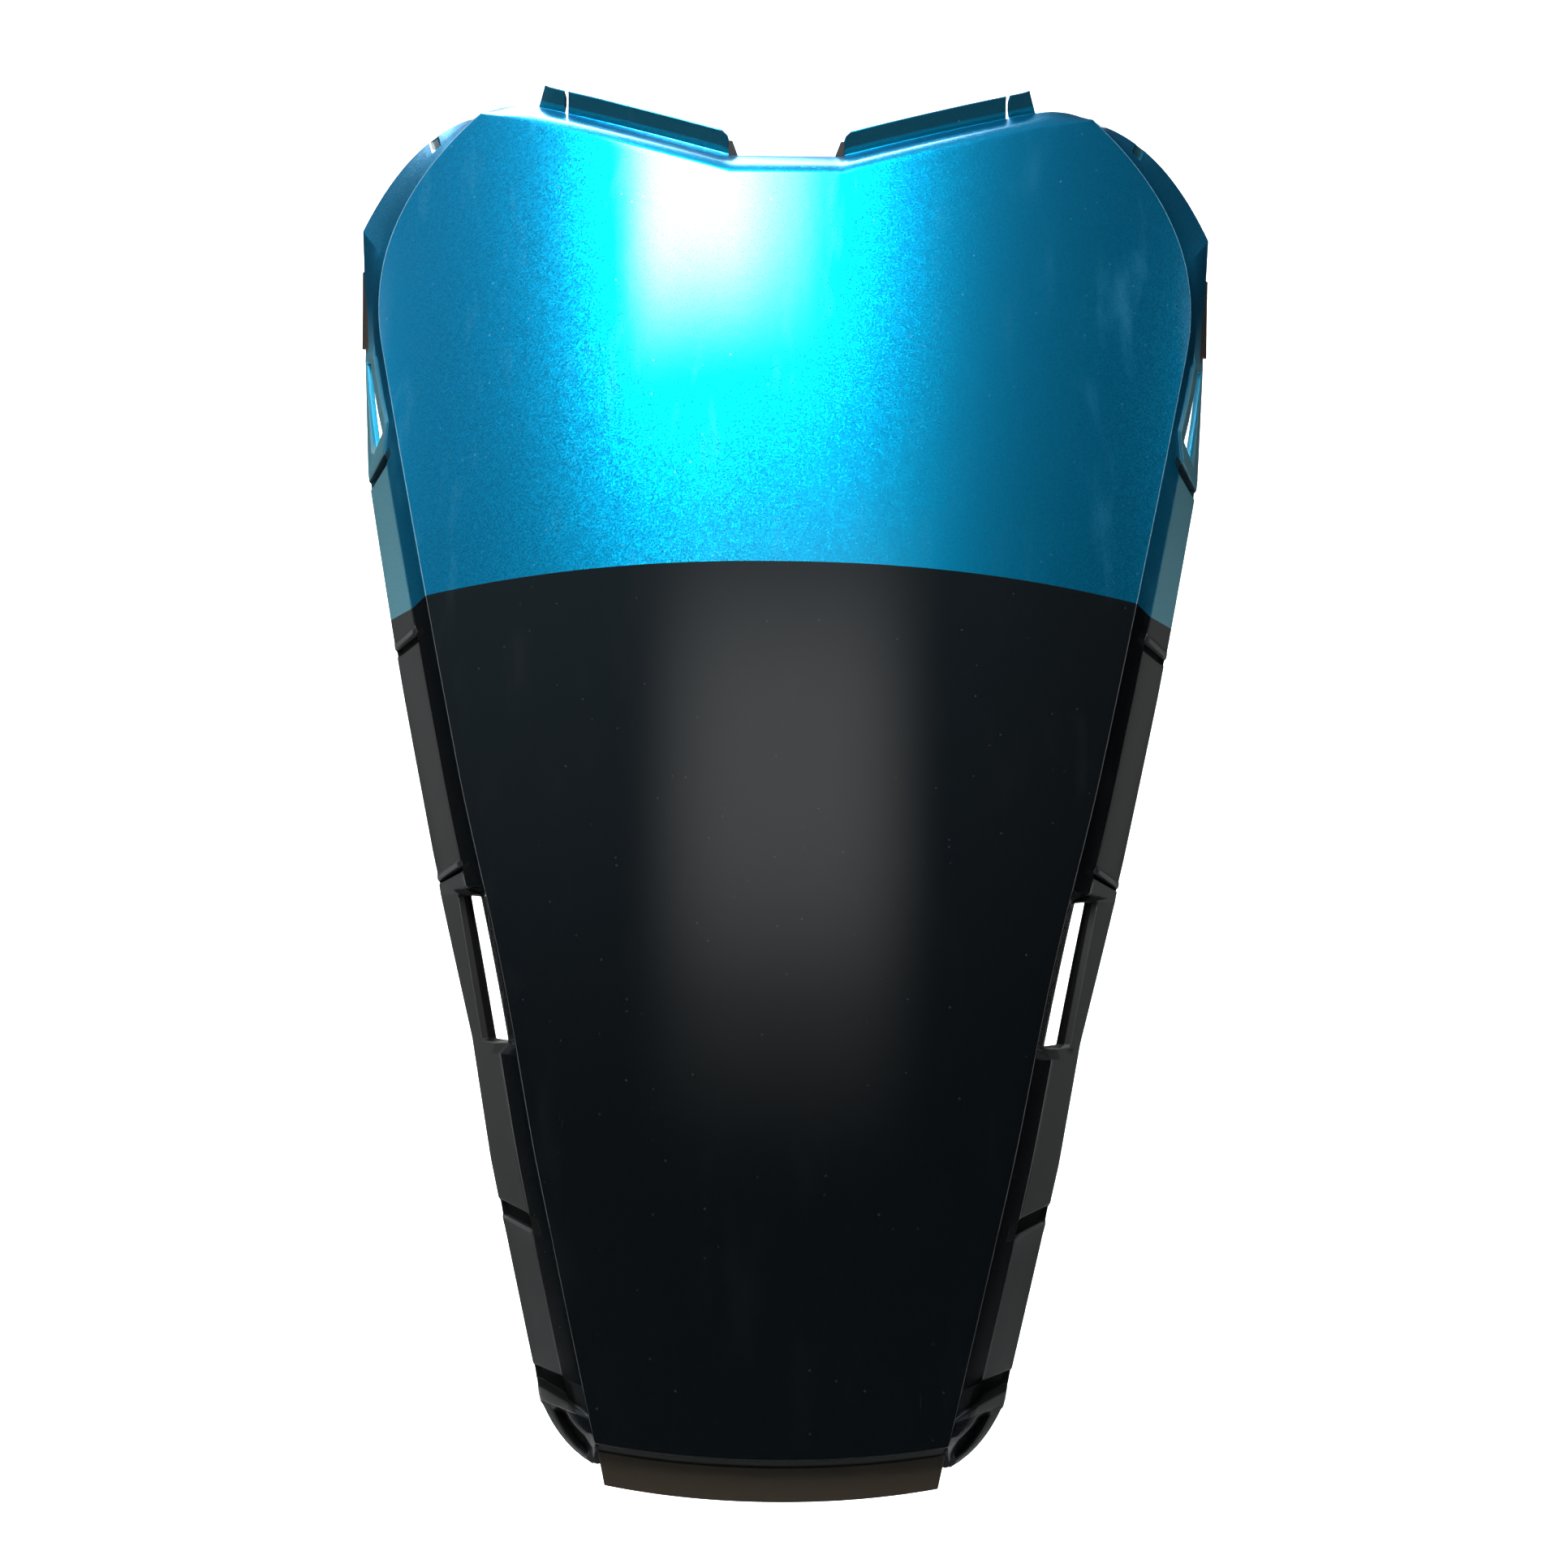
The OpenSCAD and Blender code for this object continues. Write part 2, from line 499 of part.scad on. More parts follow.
// One screw boss with its four ribs, its foot sunk to the middle of the wall
module boss(x, z) {
    end_y = face_y(x, z) + wall + boss_h;
    difference() {
        intersection() {
            union() {
                translate([x, end_y - 3 * boss_h, z])
                    rotate([-90, 0, 0])
                        cylinder(h = 3 * boss_h, d = boss_d, $fn = 48);
                translate([x - boss_rib_l, end_y - 4 * boss_h, z - boss_rib_t / 2])
                    cube([2 * boss_rib_l, 3.4 * boss_h, boss_rib_t]);
                translate([x - boss_rib_t / 2, end_y - 4 * boss_h, z - boss_rib_l])
                    cube([boss_rib_t, 3.4 * boss_h, 2 * boss_rib_l]);
            }
            behind_wall(x, z, 6 * boss_h);
        }
        translate([x, end_y - pilot_depth, z])
            rotate([-90, 0, 0])
                cylinder(h = pilot_depth + 1, d = pilot_d, $fn = 48);
    }
}

// The same things again on the left, mirrored
module both_sides() {
    children();
    mirror([1, 0, 0])
        children();
}

origin_y = face_y(upper_boss_gap / 2, upper_boss_z) + wall + boss_h;

// The whole panel, a single moulding
module front_panel() {
    color("#1187b3")
        translate([0, -origin_y, -upper_boss_z])
            union() {
                shell();
                both_sides() {
                    boss(upper_boss_gap / 2, upper_boss_z);
                    boss(lower_boss_gap / 2, lower_boss_z);
                    lug_gusset();
                    corner_web();
                }
            }
}

front_panel();
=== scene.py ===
# %% [markdown]
# # Front apron panel of a scooter-type motorcycle
# One moulded plastic panel, painted in candy blue over gloss black, seen square from the front.
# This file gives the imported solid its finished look: a finely divided skin in the same place as the
# solid's, the paint with its flake and clear coat, and a plain white studio.

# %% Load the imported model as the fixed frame
import math

import bmesh
import bpy
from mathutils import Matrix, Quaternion, Vector


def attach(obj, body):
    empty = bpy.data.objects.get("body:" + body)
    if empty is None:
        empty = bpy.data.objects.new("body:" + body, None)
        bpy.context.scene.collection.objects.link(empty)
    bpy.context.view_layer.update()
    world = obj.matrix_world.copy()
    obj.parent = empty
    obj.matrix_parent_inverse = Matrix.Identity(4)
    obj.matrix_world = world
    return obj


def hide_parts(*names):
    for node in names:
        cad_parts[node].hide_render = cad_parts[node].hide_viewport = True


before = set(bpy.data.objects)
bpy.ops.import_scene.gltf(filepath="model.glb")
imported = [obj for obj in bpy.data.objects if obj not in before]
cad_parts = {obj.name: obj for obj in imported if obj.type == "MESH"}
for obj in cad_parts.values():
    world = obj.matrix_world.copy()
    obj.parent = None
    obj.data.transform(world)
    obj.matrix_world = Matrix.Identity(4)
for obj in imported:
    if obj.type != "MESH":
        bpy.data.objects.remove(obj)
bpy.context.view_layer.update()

# %% [markdown]
# ## Sizes
# The sizes are the solid's own, in millimetres, with +Z up from the tip of the tongue and the face
# towards -Y. The frame's origin is midway between the two upper screw bosses, on their end plane.
# Sizes that only one part needs are given where that part is made.

# %% Sizes shared by several parts of the panel, in millimetres
MM = 0.001
face_bottom_w, face_shoulder_w, face_top_w = 155.0, 381.0, 292.0
bottom_corner_z, shoulder_z, top_corner_z = 25.0, 520.0, 633.0
bottom_bow, top_dip, top_level_w = 5.5, 34.5, 52.0
shoulder_reach = 46.0
lean, waist_z, upper_bow_r, lower_bow_r = 4.2, 220.0, 1400.0, 4000.0
crown_depth, crown_w, crown_power = 46.0, 360.0, 2.6
wall = 2.6
flange_w, flange_slot_w, flange_mid_w, flange_bend_w = 22.9, 20.3, 22.2, 20.6
flange_depth, step_depth = 25.0, 13.0
flange_bend_z, ear_corner_z, ear_corner_out = 461.0, 581.0, 7.8
recess, ridge, groove = 1.2, 0.9, 2.8
upper_slot_z, upper_slot_h = 488.0, 28.0
lower_slot_z, lower_slot_h, pocket_depth = 199.0, 63.5, 11.0
side_tab_z, side_tab_h, side_tab_out = 522.5, 38.5, 2.4
shelf_depth, shelf_rise = 14.0, 11.0
lug_h, lug_outer, lug_slit, lug_slit_w, lug_lean = 10.5, 118.5, 104.0, 1.6, 1.2
gusset_t, gusset_w, gusset_h = 1.8, 3.6, 6.8
hook_depth, hook_recess = 9.0, 4.0
tongue_h, tongue_set_back, tongue_taper = 19.5, 5.5, 4.0
upper_boss, lower_boss = (75.0, 520.0), (55.0, 120.0)
boss_r, pilot_r, pilot_depth, boss_h = 4.5, 1.7, 11.0, 15.0
boss_rib_l, boss_rib_t = 12.0, 1.6
print(f"face {face_shoulder_w} mm wide, wall {wall} mm")

# %% [markdown]
# ## The face's surface
# The face is a bow up the middle line plus a crown across it, which is flatter in the middle than at the
# sides. A lofted surface would do as well, but two short formulas give a depth for any point, so that
# whatever stands on the face can find its own foot.

# %% Bow, crown and the place of the origin
def ramp(a, b, t):
    """How far t has come from a to b, held between 0 and 1."""
    return max(0.0, min(1.0, (t - a) / (b - a)))


def smooth(t):
    """A share between 0 and 1 with soft ends."""
    return t * t * (3 - 2 * t)


def mix(a, b, t):
    """The value or point at share t between a and b."""
    return a + (b - a) * t


def lookup(t, table):
    """Straight-line value at t in a table of (t, value) pairs."""
    for (t0, v0), (t1, v1) in zip(table, table[1:]):
        if t <= t1:
            return mix(v0, v1, ramp(t0, t1, t))
    return table[-1][1]


def bow(z):
    """Depth of the face's middle line at height z."""
    radius = upper_bow_r if z > waist_z else lower_bow_r
    return math.tan(math.radians(lean)) * (z - waist_z) + (z - waist_z) ** 2 / (2 * radius)


def crown(x):
    """How much further back the face lies at x than at its middle."""
    return crown_depth * (abs(x) / (crown_w / 2)) ** crown_power


def face_y(x, z):
    """Depth of the face at x and z."""
    return bow(z) + crown(x)


origin_y = face_y(*upper_boss) + wall + boss_h
origin_z = upper_boss[1]


def place(x, y, z):
    """A point of the panel, from millimetres above into metres of the frame."""
    return Vector((x, y - origin_y, z - origin_z)) * MM


print(f"origin {origin_y:.2f} mm behind the face plane, face depth at the shoulder {face_y(190, 520):.1f} mm")

# %% [markdown]
# ## The outline
# In front view the face has straight sides, shoulder curves and two top corners. Outside it runs the
# edge of the flange, with a hook at the bottom, a bend and a sharp shoulder corner. A station runs
# along both: 0 at the bottom corner, 1 at the hook, 2 at the shoulder, 3 at the top corner.

# %% Sizes of the edges in front view
side_slope = (face_shoulder_w - face_bottom_w) / 2 / (shoulder_z - bottom_corner_z)
hook_z, low_joggle_z, mid_joggle_z, high_joggle_z, groove_z = 37.0, 111.2, 281.8, 388.5, 473.1
hook_band, low_band, lip_band, groove_band = 9.9, 6.2, 2.0, 3.4
bevel, lip_bevel = 1.6, 0.8
hook_rise, hook_set_in = 12.0, 1.2
side_dip, side_dip_z, side_dip_reach = 2.0, 232.0, 90.0
flange_low_top, flange_mid_top = 146.0, 357.0
ear_share = 0.34
corner_lead_out, corner_lead_down = 36, 31
hook_tip_out, hook_tip_down, hook_lead_in, hook_lead_up = 1.2, 11, 9.4, 10
edge_out, edge_up, ear_lead_share, ear_lead_down = 3.6, 1.5, 0.64, 9.5


def straight_x(z):
    """The face's side at height z, before it is drawn in."""
    return face_bottom_w / 2 + (z - bottom_corner_z) * side_slope


def side_x(z):
    """The face's edge: nearly straight, drawn in a little beside the lower slot."""
    return straight_x(z) - side_dip * max(0.0, 1 - ((z - side_dip_z) / side_dip_reach) ** 2) ** 2


print(f"sides from {straight_x(bottom_corner_z):.1f} to {straight_x(shoulder_z):.1f} mm off the middle")

# %% [markdown]
# ## Corners of the outline
# The panel has few true corners: two at the top, a sharp one on each flange, and the hooks at the foot.
# Between them the edge is a curve. Each curve is drawn from its ends and one or two leads, as a
# draughtsman's curve is, so a corner can be moved and its curves follow.

# %% Corners and the leads of the curves between them
def flat(a, b):
    """A point of the front view."""
    return Vector((a, b))


def curve2(a, b, c, t):
    """The point at share t of a curve from a to c that is drawn towards b."""
    return mix(mix(a, b, t), mix(b, c, t), t)


top_corner = flat(face_top_w / 2, top_corner_z)
shoulder = flat(face_shoulder_w / 2, shoulder_z)
shoulder_up = shoulder + shoulder_reach * flat(side_slope, 1)
corner_lead = top_corner + flat(corner_lead_out, -corner_lead_down)
hook_edge = flat(straight_x(hook_z + hook_rise) + flange_w, hook_z + hook_rise)
bend_edge = flat(straight_x(flange_bend_z) + flange_bend_w, flange_bend_z)
hook_tip = flat(face_bottom_w / 2 + hook_tip_out, bottom_corner_z - hook_tip_down)
hook_lead = flat(hook_edge.x - hook_lead_in, hook_tip.y + hook_lead_up)
ear_corner = flat(bend_edge.x + ear_corner_out, ear_corner_z)
edge_top = top_corner + flat(edge_out, edge_up)
ear_lead = flat(mix(edge_top.x, ear_corner.x, ear_lead_share), edge_top.y - ear_lead_down)
print("sharp corner of the flange at", [round(c, 1) for c in ear_corner], "mm")

# %% [markdown]
# ## The flange's outer edge
# The flange keeps nearly the same width up the side and narrows a little at each joggle. Its features
# slant: they lie higher or lower at the outer edge than at the face. A short table of heights says both,
# which is easier to read and change than a formula for each stretch.

# %% Width and slant of the flange up the side
def edge_x(z):
    """The flange's outer edge at height z."""
    if z < flange_bend_z:
        return straight_x(z) + lookup(z, [
            (flange_low_top, flange_w), (lower_slot_z, flange_slot_w), (mid_joggle_z, flange_mid_w),
            (flange_mid_top, flange_mid_w), (flange_bend_z, flange_bend_w)])
    return mix(bend_edge.x, ear_corner.x, (z - bend_edge.y) / (ear_corner.y - bend_edge.y))


def slant(z):
    """How much higher the flange's features are at its outer edge."""
    return lookup(z, [
        (hook_z, hook_rise), (hook_z + hook_band + bevel, 6.8), (low_joggle_z, 10),
        (low_joggle_z + low_band + bevel, 9.3), (mix(low_joggle_z, lower_slot_z, 0.5), 3),
        (lower_slot_z, 0), (lower_slot_z + lower_slot_h, 0), (mid_joggle_z, -13), (high_joggle_z, -13.4),
        (groove_z, -20), (upper_slot_z, -25.5), (upper_slot_z + upper_slot_h, -2.5), (shoulder_z, 0)])


print(f"flange edge at the bend, {edge_x(flange_bend_z):.1f} mm off the middle")

# %% [markdown]
# ## One station for both edges
# The face's edge and the flange's edge have different lengths. One number, the station, runs along both
# of them together, so that a row of the skin always joins two points that belong together.

# %% Points along the face's edge and the flange's edge
def crease(s):
    """The face's edge at station s, in front view."""
    if s < 1:
        z = mix(bottom_corner_z, hook_z, s)
        return flat(side_x(z), z)
    if s < 2:
        z = mix(hook_z, shoulder_z, s - 1)
        return flat(side_x(z), z)
    t = s - 2
    lower = curve2(shoulder, shoulder_up, corner_lead, t)
    upper = curve2(shoulder_up, corner_lead, top_corner, t)
    return mix(lower, upper, t)


def flange_edge(s):
    """The flange's outer edge at station s, in front view."""
    if s < 1:
        return curve2(hook_tip, hook_lead, hook_edge - flat(hook_set_in, 0), s)
    if s < 2:
        z = mix(hook_z, shoulder_z, s - 1)
        z += slant(z)
        return flat(edge_x(z), z)
    if s < 2 + ear_share:
        z = mix(shoulder_z, ear_corner_z, (s - 2) / ear_share)
        return flat(edge_x(z), z)
    return curve2(ear_corner, ear_lead, edge_top, (s - 2 - ear_share) / (1 - ear_share))


def at_z(z):
    """The station at which the face's side is at height z."""
    return 1 + (z - hook_z) / (shoulder_z - hook_z)


def at_ear(z):
    """The station above the shoulder at which the flange's edge is at height z."""
    return 2 + ear_share * (z - shoulder_z) / (ear_corner_z - shoulder_z)


print("flange edge at the sharp corner:", [round(c, 1) for c in flange_edge(2 + ear_share)])

# %% [markdown]
# ## Rows and columns
# The skin is one grid. Its rows go up the panel: tongue, body, shelf, lugs. Its columns go from the
# middle to the face's edge and then across the flange. Rows stand close together at each ridge,
# recess and slot end, and are filled in between at an even pitch.

# %% Rows of the body
PLAIN, UPPER, LOWER, HOOK, BESIDE_LOWER = 0, 1, 2, 3, 4
row_pitch = 5.0
hook_top = 0.86
notch_s, notch_band, notch_bevel = 2.79, 0.028, 0.008


def rows_between(a, b, level, kind=PLAIN):
    """Rows at an even pitch between heights a and b, without those two."""
    n = max(1, math.ceil((b - a) / row_pitch))
    return [(at_z(mix(a, b, i / n)), level, kind) for i in range(1, n)]


def stations(a, b, n, level=0.0):
    """Plain rows between stations a and b, without those two."""
    return [(mix(a, b, i / n), level, PLAIN) for i in range(1, n)]


print("rows lie", row_pitch, "mm apart at most")

# %% [markdown]
# ## From the hooks to the upper slots
# Up the side come the hook, a groove, three joggles where the side panel's edge hooks in, the lower slot
# with its pocket, and the upper slot. Each one is a few rows with a level: sunk for a groove, raised for
# a lip. They could be cut out with booleans, but rows keep the skin clean and evenly shaded.

# %% Rows from the hooks to the upper slots
slot_top = lower_slot_z + lower_slot_h
upper_top = upper_slot_z + upper_slot_h
tab_low, tab_high = at_ear(side_tab_z), at_ear(side_tab_z + side_tab_h)
body_rows = [(0.0, 0.0, HOOK), (0.12, 0.6, HOOK), (0.25, 1.0, HOOK)]
body_rows += [(i / 16, 1.0, HOOK) for i in range(5, 11)]
body_rows += [(0.72, 1.0, HOOK), (0.78, 0.9, HOOK), (hook_top, 0.0, HOOK), (mix(hook_top, 1, 0.5), 0.0, HOOK),
              (1.0, groove, PLAIN), (at_z(hook_z + hook_band / 2), groove, PLAIN),
              (at_z(hook_z + hook_band), groove, PLAIN),
              (at_z(hook_z + hook_band + bevel), recess / 2, PLAIN)]
body_rows += rows_between(hook_z + hook_band + bevel, low_joggle_z - bevel, recess / 2)
body_rows += [(at_z(low_joggle_z - bevel), 0.0, PLAIN), (at_z(low_joggle_z), groove, PLAIN),
              (at_z(low_joggle_z + low_band), groove, PLAIN),
              (at_z(low_joggle_z + low_band + bevel), 0.0, PLAIN)]
body_rows += rows_between(low_joggle_z + low_band + bevel, lower_slot_z - bevel, 0.0)
body_rows += [(at_z(lower_slot_z - bevel), 0.0, BESIDE_LOWER), (at_z(lower_slot_z), 0.0, LOWER)]
body_rows += rows_between(lower_slot_z, slot_top, 0.0, LOWER)
body_rows += [(at_z(slot_top), 0.0, LOWER), (at_z(slot_top + bevel), 0.0, BESIDE_LOWER)]
channel = lip_band + 2 * lip_bevel
body_rows += rows_between(slot_top + bevel, mid_joggle_z - channel, 0.0)
for z in (mid_joggle_z, high_joggle_z):
    before, after = (0.0, recess) if z == mid_joggle_z else (recess, 0.0)
    body_rows += [(at_z(z - channel), before, PLAIN), (at_z(z - lip_band - lip_bevel), groove, PLAIN),
                  (at_z(z - lip_bevel), groove, PLAIN), (at_z(z), -ridge, PLAIN),
                  (at_z(z + lip_band), -ridge, PLAIN), (at_z(z + lip_band + bevel), after, PLAIN)]
    upper_end = high_joggle_z - channel if z == mid_joggle_z else groove_z - bevel
    body_rows += rows_between(z + lip_band + bevel, upper_end, after)
body_rows += [(at_z(groove_z - bevel), 0.0, PLAIN), (at_z(groove_z), groove, PLAIN),
              (at_z(groove_z + groove_band), groove, PLAIN),
              (at_z(groove_z + groove_band + bevel), -ridge, PLAIN),
              (at_z(upper_slot_z - bevel), -ridge, PLAIN), (at_z(upper_slot_z), -ridge, UPPER)]
body_rows += rows_between(upper_slot_z, upper_top, -ridge, UPPER)
body_rows += [(at_z(upper_top), -ridge, UPPER), (at_z(upper_top + bevel), -ridge, PLAIN)]
print(len(body_rows), "rows up to the upper slots")

# %% [markdown]
# ## Over the shoulder to the top
# Above the slots a small tab sticks out at the side, the flange turns its sharp corner, and a notch
# crosses it near the top. Below the body the tongue has rows of its own, and above it the shelf and the
# lugs do.

# %% Rows over the shoulder, of the tongue, the shelf and the lugs
body_rows += [(tab_low, 0.0, PLAIN)] + stations(tab_low, tab_high, 8) + [(tab_high, 0.0, PLAIN)]
body_rows += stations(tab_high, 2 + ear_share, 3) + [(2 + ear_share, 0.0, PLAIN)]
notch_low, notch_high = notch_s - notch_band / 2, notch_s + notch_band / 2
body_rows += stations(2 + ear_share, notch_low - notch_bevel, 13)
body_rows += [(notch_low - notch_bevel, 0.0, PLAIN), (notch_low, recess, PLAIN), (notch_high, recess, PLAIN),
              (notch_high + notch_bevel, 0.0, PLAIN)]
body_rows += stations(notch_high + notch_bevel, 3, 8) + [(3.0, 0.0, PLAIN)]

tongue_rows = [(1, 1), (1, 0.96), (1, 0.62), (0.943, 0.26), (0.93, 0.18), (0.65, 0.04)]
shelf_steps, lug_shares = 8, (0, 0.35, 0.7, 0.96, 1)
row_face = len(tongue_rows)
row_top = row_face + len(body_rows) - 1
row_shelf_end = row_top + shelf_steps
rows = row_shelf_end + len(lug_shares)
print(len(body_rows), "body rows,", rows, "rows in all")

# %% [markdown]
# ## Columns across the panel
# The face's columns stop at both ends of each lug and at both sides of its slit. Seven more lie on the
# flange, at the sides of its slots. Evenly spaced columns would be simpler, but no edge would lie on one,
# and the slots would have stepped edges.

# %% Columns from the middle outwards
lug_inner, half_top = top_level_w / 2, face_top_w / 2
marks = [0, lug_inner, lug_slit, lug_slit + lug_slit_w, lug_outer, half_top]
column_pitch = 4.5
face_u = [0.0]
for a, b in zip(marks, marks[1:]):
    n = max(1, math.ceil((b - a) / column_pitch))
    face_u += [mix(a, b, i / n) / half_top for i in range(1, n + 1)]
face_cols = len(face_u) - 1
flange_cols = 6
half_cols = face_cols + flange_cols + 1
cols = 2 * half_cols + 1
# Shares of the flange's width at its columns, at the lower and the upper end of each kind of row
flange_u = {PLAIN: ([0, 0.40, 0.46, 0.6, 0.76, 0.92, 1], [0, 0.40, 0.46, 0.6, 0.76, 0.92, 1]),
            UPPER: ([0, 0.16, 0.23, 0.30, 0.37, 0.61, 1], [0, 0.30, 0.44, 0.55, 0.655, 0.845, 1]),
            LOWER: ([0, 0.14, 0.20, 0.48, 0.56, 0.77, 1], [0, 0.10, 0.165, 0.39, 0.465, 0.62, 1]),
            HOOK: ([0, 0.14, 0.26, 0.42, 0.66, 0.84, 1], [0, 0.28, 0.46, 0.60, 0.68, 0.82, 1])}
flange_u[BESIDE_LOWER] = flange_u[LOWER]
sink_share = [0, 0, 1.2, 1.0, 0.9, 0.8, 0.25, 0.25]
hook_sink_share = [0, 0, 0, 1, 1, 0, 0, 0]
print(face_cols, "face columns a side,", cols, "columns in all")

# %% [markdown]
# ## The face
# Each point of the skin comes from its row and column. On the face the rows follow two shapes: a low
# arch at the foot and, at the top, a level middle with a straight slope on each side. In between they
# change slowly from one to the other, so no row makes a fold.

# %% A point of the face
def face_point(u, s):
    """A point of the face, at share u from its middle to its edge and at station s."""
    c = crease(s)
    rise = mix(bottom_bow, top_dip, ramp(bottom_corner_z, top_corner_z, c.y))
    level_u = lug_inner / half_top
    form = mix(u * u, max(0.0, u - level_u) / (1 - level_u), smooth(ramp(1.7, 3, s)))
    x, z = u * c.x, c.y - rise * (1 - form)
    return Vector((x, face_y(x, z), z))


print("top corner of the face at", [round(c, 1) for c in face_point(1, 3)])

# %% [markdown]
# ## The flange
# The flange is a steep wall beside the face and then a shallower ledge. Its columns slide across it so
# that they follow the slots' slanting sides, and its level says how deep each one lies. One formula for
# the whole flange would be shorter, but the pocket and the hooks have their own depths.

# %% A point of the flange
sunk_in, sunk_back = 0.83, 0.56
spans = {PLAIN: (0, 1), UPPER: (at_z(upper_slot_z), at_z(upper_top)),
         LOWER: (at_z(lower_slot_z), at_z(slot_top)), HOOK: (0.38, 0.7)}
spans[BESIDE_LOWER] = spans[LOWER]


def share(m, kind, s):
    """Share of the flange's width at which column m lies."""
    low, high = flange_u[kind]
    own = mix(low[m], high[m], ramp(*spans[kind], s))
    if kind == PLAIN and s < at_z(upper_slot_z):
        towards = ramp(at_z(groove_z + groove_band + bevel), at_z(upper_slot_z), s)
        return mix(own, flange_u[UPPER][0][m], towards)
    return own


def flange_level(m, kind, s, step, depth):
    """How far the flange lies behind the face's edge at column m."""
    u, foot = share(m, kind, s), flange_u[PLAIN][0][1]
    if kind == HOOK:
        return depth * u
    if kind == LOWER and m < 3:
        return step * (0.7 if m == 1 else 1.0) if m else 0.0
    if kind == LOWER and m < 5:
        return step + pocket_depth * (1.0 if m == 3 else 0.95)
    if m == 0:
        return 0.0
    even = smooth(ramp(at_z(high_joggle_z), at_z(upper_slot_z), s))
    return mix(step + (depth - step) * ramp(foot, 1, u), depth * u, even)


def flange_point(m, s, level=0.0, kind=PLAIN):
    """A point of the flange at column m and station s, sunk by its row's level."""
    c, e = crease(s), flange_edge(s)
    column = min(m, flange_cols)
    depth = mix(flange_depth, shelf_depth + 2, smooth(ramp(2 + ear_share, 3, s)))
    if s < 1:
        depth = mix(hook_depth, flange_depth, ramp(hook_top, 1, s))
    p = mix(c, e, share(column, kind, s))
    tab = side_tab_out * mix(1, 0.45, ramp(tab_low, tab_high, s)) if m > flange_cols else 0.0
    y = face_y(c.x, c.y) + flange_level(column, kind, s, step_depth, depth)
    if kind == HOOK:
        return Vector((p.x, y + hook_recess * level * hook_sink_share[m], p.y))
    sunk = level * sink_share[m]
    return Vector((p.x + tab - sunk_in * sunk, y + 2 * tab + sunk_back * sunk, p.y))


print("flange edge at the shoulder:", [round(c, 1) for c in flange_point(flange_cols, 2)])

# %% [markdown]
# ## The shelf and its corners
# At the top the face rolls over into a shelf that the next panel covers. Where the shelf meets the flange
# the two directions have to turn into each other, so the corner is a fan that takes a share of both.

# %% A point of the shelf and of the corner beside it
def shelf_climb(u):
    """How far the shelf rises towards its rear edge."""
    return shelf_rise * mix(1, 0.25, ramp(lug_outer / half_top, 1, u) ** 2)


def shelf_point(u, t):
    """The roll from the face's top edge back to the shelf's rear edge, t from 0 to 1."""
    climb = shelf_climb(u)
    roll = curve2(flat(0, 0), flat(1.7, 0.46 * climb), flat(shelf_depth, climb), t)
    return face_point(u, 3) + Vector((0, roll.x, roll.y))


def corner_point(a, m):
    """The fan that turns the top corner from the shelf into the flange."""
    alpha, beta = a / shelf_steps, m / flange_cols
    r = max(alpha, beta)
    turn = alpha / beta / 2 if beta >= alpha else 1 - beta / alpha / 2
    low = min(int(r * flange_cols), flange_cols - 1)
    on_flange = mix(flange_point(low, 3), flange_point(low + 1, 3), r * flange_cols - low)
    return mix(on_flange, shelf_point(1, r), turn)


print("rear edge of the shelf in the middle:", [round(c, 1) for c in shelf_point(0, 1)])

# %% [markdown]
# ## Any point of the right half
# The tongue steps back below the face, so that it can slide behind the panel below. The lugs stand on the
# shelf's rear edge, with a chamfer at the outer end and a small round at the inner one. One function then
# picks the right part for each row and column.

# %% A point of the tongue, and of any row and column
lug_chamfer, lug_chamfer_w, lug_round, lug_round_w = 3.0, 6.0, 1.6, 4.0


def tongue_point(u, row):
    """A point of the tongue; its row says how far it is set back and how far down."""
    back, down = row
    return face_point(u, 0) + Vector((-u * tongue_taper * down, tongue_set_back * back, -tongue_h * down))


def right_point(i, k):
    """The place of row i and column k on the right half, in millimetres."""
    if k > face_cols:
        m = k - face_cols
        if i < row_face:
            return tongue_point(1, tongue_rows[i])
        if i <= row_top:
            return flange_point(m, *body_rows[i - row_face])
        return corner_point(min(i - row_top, shelf_steps), min(m, flange_cols))
    u = face_u[k]
    if i < row_face:
        return tongue_point(u, tongue_rows[i])
    if i <= row_top:
        return face_point(u, body_rows[i - row_face][0])
    if i <= row_shelf_end:
        return shelf_point(u, (i - row_top) / shelf_steps)
    t = lug_shares[i - row_shelf_end]
    chamfer = lug_chamfer * ramp(lug_outer - lug_chamfer_w, lug_outer, u * half_top) * t
    rounded = lug_round * ramp(lug_inner + lug_round_w, lug_inner, u * half_top) * t
    return shelf_point(u, 1) + Vector((rounded - chamfer, -lug_lean * t, lug_h * t - rounded))


print("lug top at", [round(c, 1) for c in right_point(rows - 1, 8)])

# %% [markdown]
# ## Where the skin is open
# The slots, the slits in the lugs and the room beside the tongue are cells of the grid that are left
# out. That gives clean openings whose walls get their thickness with the rest.

# %% Which cells of the grid are wall
def is_wall(i, k):
    """True where the skin has material: it is open at the slots, the lug slits and round the tongue."""
    if k >= half_cols:
        return False
    if i < row_face:
        return k < face_cols
    if i >= row_shelf_end:
        x = (face_u[k] + face_u[k + 1]) / 2 * half_top if k < face_cols else half_top
        return lug_inner < x < lug_outer and not lug_slit < x < lug_slit + lug_slit_w
    if i >= row_top:
        return k < half_cols - 1
    a, b = body_rows[i - row_face], body_rows[i - row_face + 1]
    m = k - face_cols
    if m == flange_cols:
        return a[0] >= tab_low - 1e-6 and b[0] <= tab_high + 1e-6
    if m == 2:
        return a[2] != LOWER or b[2] != LOWER
    if m == 4:
        return a[2] != UPPER or b[2] != UPPER
    return True


